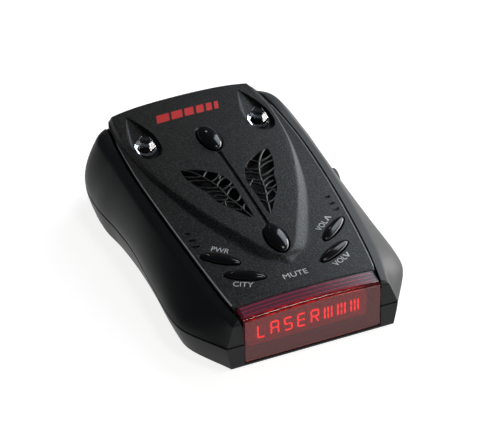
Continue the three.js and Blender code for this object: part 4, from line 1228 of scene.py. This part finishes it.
paint("left_alert_lamp right_alert_lamp laser_lens dome_diode", clear_finish)
for name in BUTTONS:
    paint(name + "_switch_body", part_finish)
    paint(name + "_switch_plunger", nylon_finish)
for corner in CORNERS:
    paint("board_screw_" + corner, screw_finish)

# ---- Studio ----------------------------------------------------------------------------------------------
# A pale floor, a broad cool window light on the right, low lights from the right and the front, a small
# warm lamp behind, a dim room, and the camera to the left of the front, looking down at 36 degrees.

FLOOR_HALF = 3000
floor_points = [(x, y, -0.02) for y in (-FLOOR_HALF, FLOOR_HALF) for x in (-FLOOR_HALF, FLOOR_HALF)]
floor = solid("studio_floor", floor_points, np.array([[0, 1, 3, 2]]))
pale = {
    "Base Color": (0.35, 0.35, 0.35, 1), "Roughness": 0.9,
    "Emission Color": (1, 1, 0.99, 1), "Emission Strength": 0.86,
}
floor.data.materials.append(finish("pale_floor", pale))


def lamp(name, place, size, strength, colour):
    """A soft rectangular light that faces the object."""
    light = bpy.data.lights.new(name, "AREA")
    light.shape = "RECTANGLE"
    light.size, light.size_y = size
    light.energy = strength
    light.color = colour
    holder = link(name, light)
    holder.location = place
    holder.rotation_euler = (-Vector(place)).to_track_quat("-Z", "Y").to_euler()


lamp("window_light", (0.86, 0.50, 0.68), (0.75, 0.75), 8.8, (0.84, 0.93, 1.0))
lamp("ceiling_light", (0.30, -0.15, 1.05), (0.3, 0.3), 2.4, (1.0, 1.0, 1.0))
lamp("low_right_light", (1.5, 0.13, 0.21), (1.4, 0.5), 34.0, (1.0, 0.98, 0.96))
lamp("low_front_light", (1.06, -1.06, 0.21), (1.4, 0.5), 8.0, (1.0, 0.99, 0.97))
lamp("warm_lamp", (0.22, 0.85, 0.62), (0.03, 0.03), 0.13, (1.0, 0.88, 0.74))

world = bpy.data.worlds.new("room")
bpy.context.scene.world = world
world.use_nodes = True
world.node_tree.nodes["Background"].inputs["Color"].default_value = (0.05, 0.055, 0.06, 1)

AZIMUTH, ELEVATION, ROLL = np.radians([-22.496, 36.03, -1.322])
DISTANCE = 0.90175
TARGET = Vector((1.792, -2.21, 11.25)) * MM
lens_data = bpy.data.cameras.new("camera")
lens_data.lens = 204.1
lens_data.sensor_width = 36
lens_data.clip_start = 0.01
camera = link("camera", lens_data)
tilt = Matrix.Rotation(AZIMUTH, 4, "Z") @ Matrix.Rotation(np.pi / 2 - ELEVATION, 4, "X")
stand = Matrix.Rotation(ROLL, 4, "Z") @ Matrix.Translation((0, 0, DISTANCE))
camera.matrix_world = Matrix.Translation(TARGET) @ tilt @ stand
bpy.context.scene.camera = camera
bpy.context.scene.view_settings.view_transform = "Standard"
